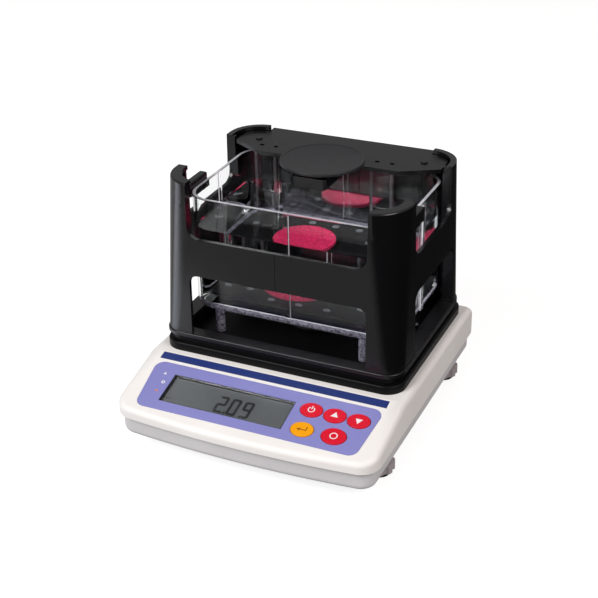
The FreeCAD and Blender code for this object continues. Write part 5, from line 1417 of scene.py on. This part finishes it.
# ---- studio
@dataclass
class Studio:
    """Pale floor, soft lamps, white surroundings and the camera."""

    eye: Point = (0.34196, -0.73844, 0.52263)
    across: Point = (0.91088, 0.41225, -0.01858)
    upwards: Point = (-0.17884, 0.43494, 0.88252)
    lens: float = 76.043
    clip: float = 0.02
    target: Point = (0.0, 0.02, 0.09)
    lamp_size: float = 0.9
    key_place: Point = (-0.75, -1.3, 1.2)
    key_power: float = 25.0
    fill_place: Point = (1.3, -0.5, 1.3)
    fill_power: float = 15.0
    fill_colour: Point = (1.0, 0.92, 0.9)
    ambient: float = 0.25
    mirrored_sky: float = 0.34
    # Painted reflection: how brightly the floor glows, and where, for glossy rays only.
    mirrored_floor: float = 0.4
    mirrored_edge: Place = (0.15, 0.0)
    mirrored_glow_patch: float = 2.2
    glow_patch_x: Place = (-0.12, -0.2)
    glow_patch_front: Place = (-0.26, -0.16)
    glow_patch_back: Place = (-0.01, -0.09)
    glow_patch_colour: Colour = (0.86, 0.88, 1.0, 1.0)
    floor_reach: float = 6.0
    floor_colour: Colour = (0.45, 0.45, 0.45, 1.0)
    # Painted dark reflection: the floor's colour as mirrors see it.
    floor_in_mirrors: Colour = (0.02, 0.02, 0.02, 1.0)
    floor_glow: float = 0.78
    bounces: int = 28
    clear_bounces: int = 24

    def build(self) -> None:
        """Sets up the camera first, and then what lights the object."""
        self._add_camera()
        self._add_floor()
        self._add_lamp("key_light", self.key_place, self.key_power)
        self._add_lamp("fill_light", self.fill_place, self.fill_power, self.fill_colour)
        self._set_world()
        self._set_light_paths()

    def _add_camera(self) -> None:
        """Adds the camera that the scene is seen through."""
        data = bpy.data.cameras.new("camera")
        data.lens = self.lens
        data.clip_start = self.clip
        camera = add_object("camera", data)
        across, upwards = Vector(self.across), Vector(self.upwards)
        axes = Matrix((across, upwards, across.cross(upwards))).transposed().to_4x4()
        camera.matrix_world = Matrix.Translation(self.eye) @ axes
        bpy.context.scene.camera = camera

    def _add_floor(self) -> None:
        """Adds the floor, which looks white but keeps the shadow."""
        shape = bmesh.new()
        bmesh.ops.create_grid(shape, x_segments=1, y_segments=1, size=self.floor_reach)
        mesh = bpy.data.meshes.new("floor")
        shape.to_mesh(mesh)
        shape.free()
        mesh.materials.append(bpy.data.materials.new("floor"))
        self._draw_floor(Graph(mesh.materials[0]))
        floor = add_object("floor", mesh)

    def _draw_floor(self, graph: Graph) -> None:
        """Draws the floor's surface, with a glowing patch and strip that only mirrors see, which
        paint reflections on black plastic.

        Args:
            graph: Where it is drawn.
        """
        seen, mirrored = self._views(graph)
        matte = graph.node("ShaderNodeBsdfDiffuse", {}, {
            "Color": graph.blend(mirrored, self.floor_colour, self.floor_in_mirrors)})
        x, y = graph.axis("X"), graph.axis("Y")
        # Painted reflection: the floor glows only where mirrors see it.
        patch = x.between(*self.glow_patch_x) * y.between(*self.glow_patch_front)
        glow_patch = patch * y.between(*self.glow_patch_back)
        shine = x.between(*self.mirrored_edge) * self.mirrored_floor + glow_patch * self.mirrored_glow_patch
        glow = graph.node("ShaderNodeEmission", {}, {
            "Color": graph.blend(mirrored * glow_patch, WHITE, self.glow_patch_colour),
            "Strength": seen * self.floor_glow + mirrored * shine})
        graph.finish(graph.node("ShaderNodeAddShader", {}, {0: matte, 1: glow}))

    @staticmethod
    def _views(graph: Graph) -> tuple[Value, Value]:
        """Tells how a point is looked at.

        Args:
            graph: Where the nodes are drawn.

        Returns:
            Whether it is seen straight or through a clear piece, and whether it is in a mirror.
        """
        camera, through, glossy = (graph.node("ShaderNodeLightPath", output=f"Is {kind} Ray")
                                   for kind in ("Camera", "Transmission", "Glossy"))
        return (camera + through).between(0.0, 1.0), (glossy - through).between(0.0, 1.0)

    def _add_lamp(self, name: str, place: Point, power: float,
                  colour: Point = (1.0, 1.0, 1.0)) -> None:
        """Adds a square soft lamp that faces the object.

        Args:
            name: Name of the lamp.
            place: Where it hangs, in metres.
            power: Its power in watts.
            colour: Colour of its light.
        """
        data = bpy.data.lights.new(name, "AREA")
        data.size = self.lamp_size
        data.energy = power
        data.color = colour
        turn = (Vector(self.target) - Vector(place)).to_track_quat("-Z", "Y").to_matrix().to_4x4()
        add_object(name, data).matrix_world = Matrix.Translation(place) @ turn

    def _set_world(self) -> None:
        """Makes the surroundings white to the eye and even to the surfaces."""
        world = bpy.data.worlds.new("surroundings")
        bpy.context.scene.world = world
        graph = Graph(world)
        seen, mirrored = self._views(graph)
        strength = seen * (1.0 - self.ambient) + mirrored * (self.mirrored_sky - self.ambient)
        light = graph.node("ShaderNodeBackground", {}, {
            "Color": WHITE, "Strength": strength + self.ambient})
        graph.finish(light, "ShaderNodeOutputWorld")

    def _set_light_paths(self) -> None:
        """Lets light through the tank, the water and the hangers, and keeps colours as written."""
        scene = bpy.context.scene
        scene.cycles.max_bounces = self.bounces
        scene.cycles.transmission_bounces = self.clear_bounces
        scene.cycles.transparent_max_bounces = self.clear_bounces
        scene.view_settings.view_transform = "Standard"


def main() -> None:
    """Builds the studio and every sub-assembly."""
    logging.basicConfig(level=logging.INFO, format="%(name)s: %(message)s")
    for group in (Studio(), Housing(), Display(), Keypad(), Feet(), Interior(), Surround(), Tank(),
                  Stage(), Sample()):
        group.build()
        LOG.info("finished %s", type(group).__name__)


if __name__ == "__main__":
    main()
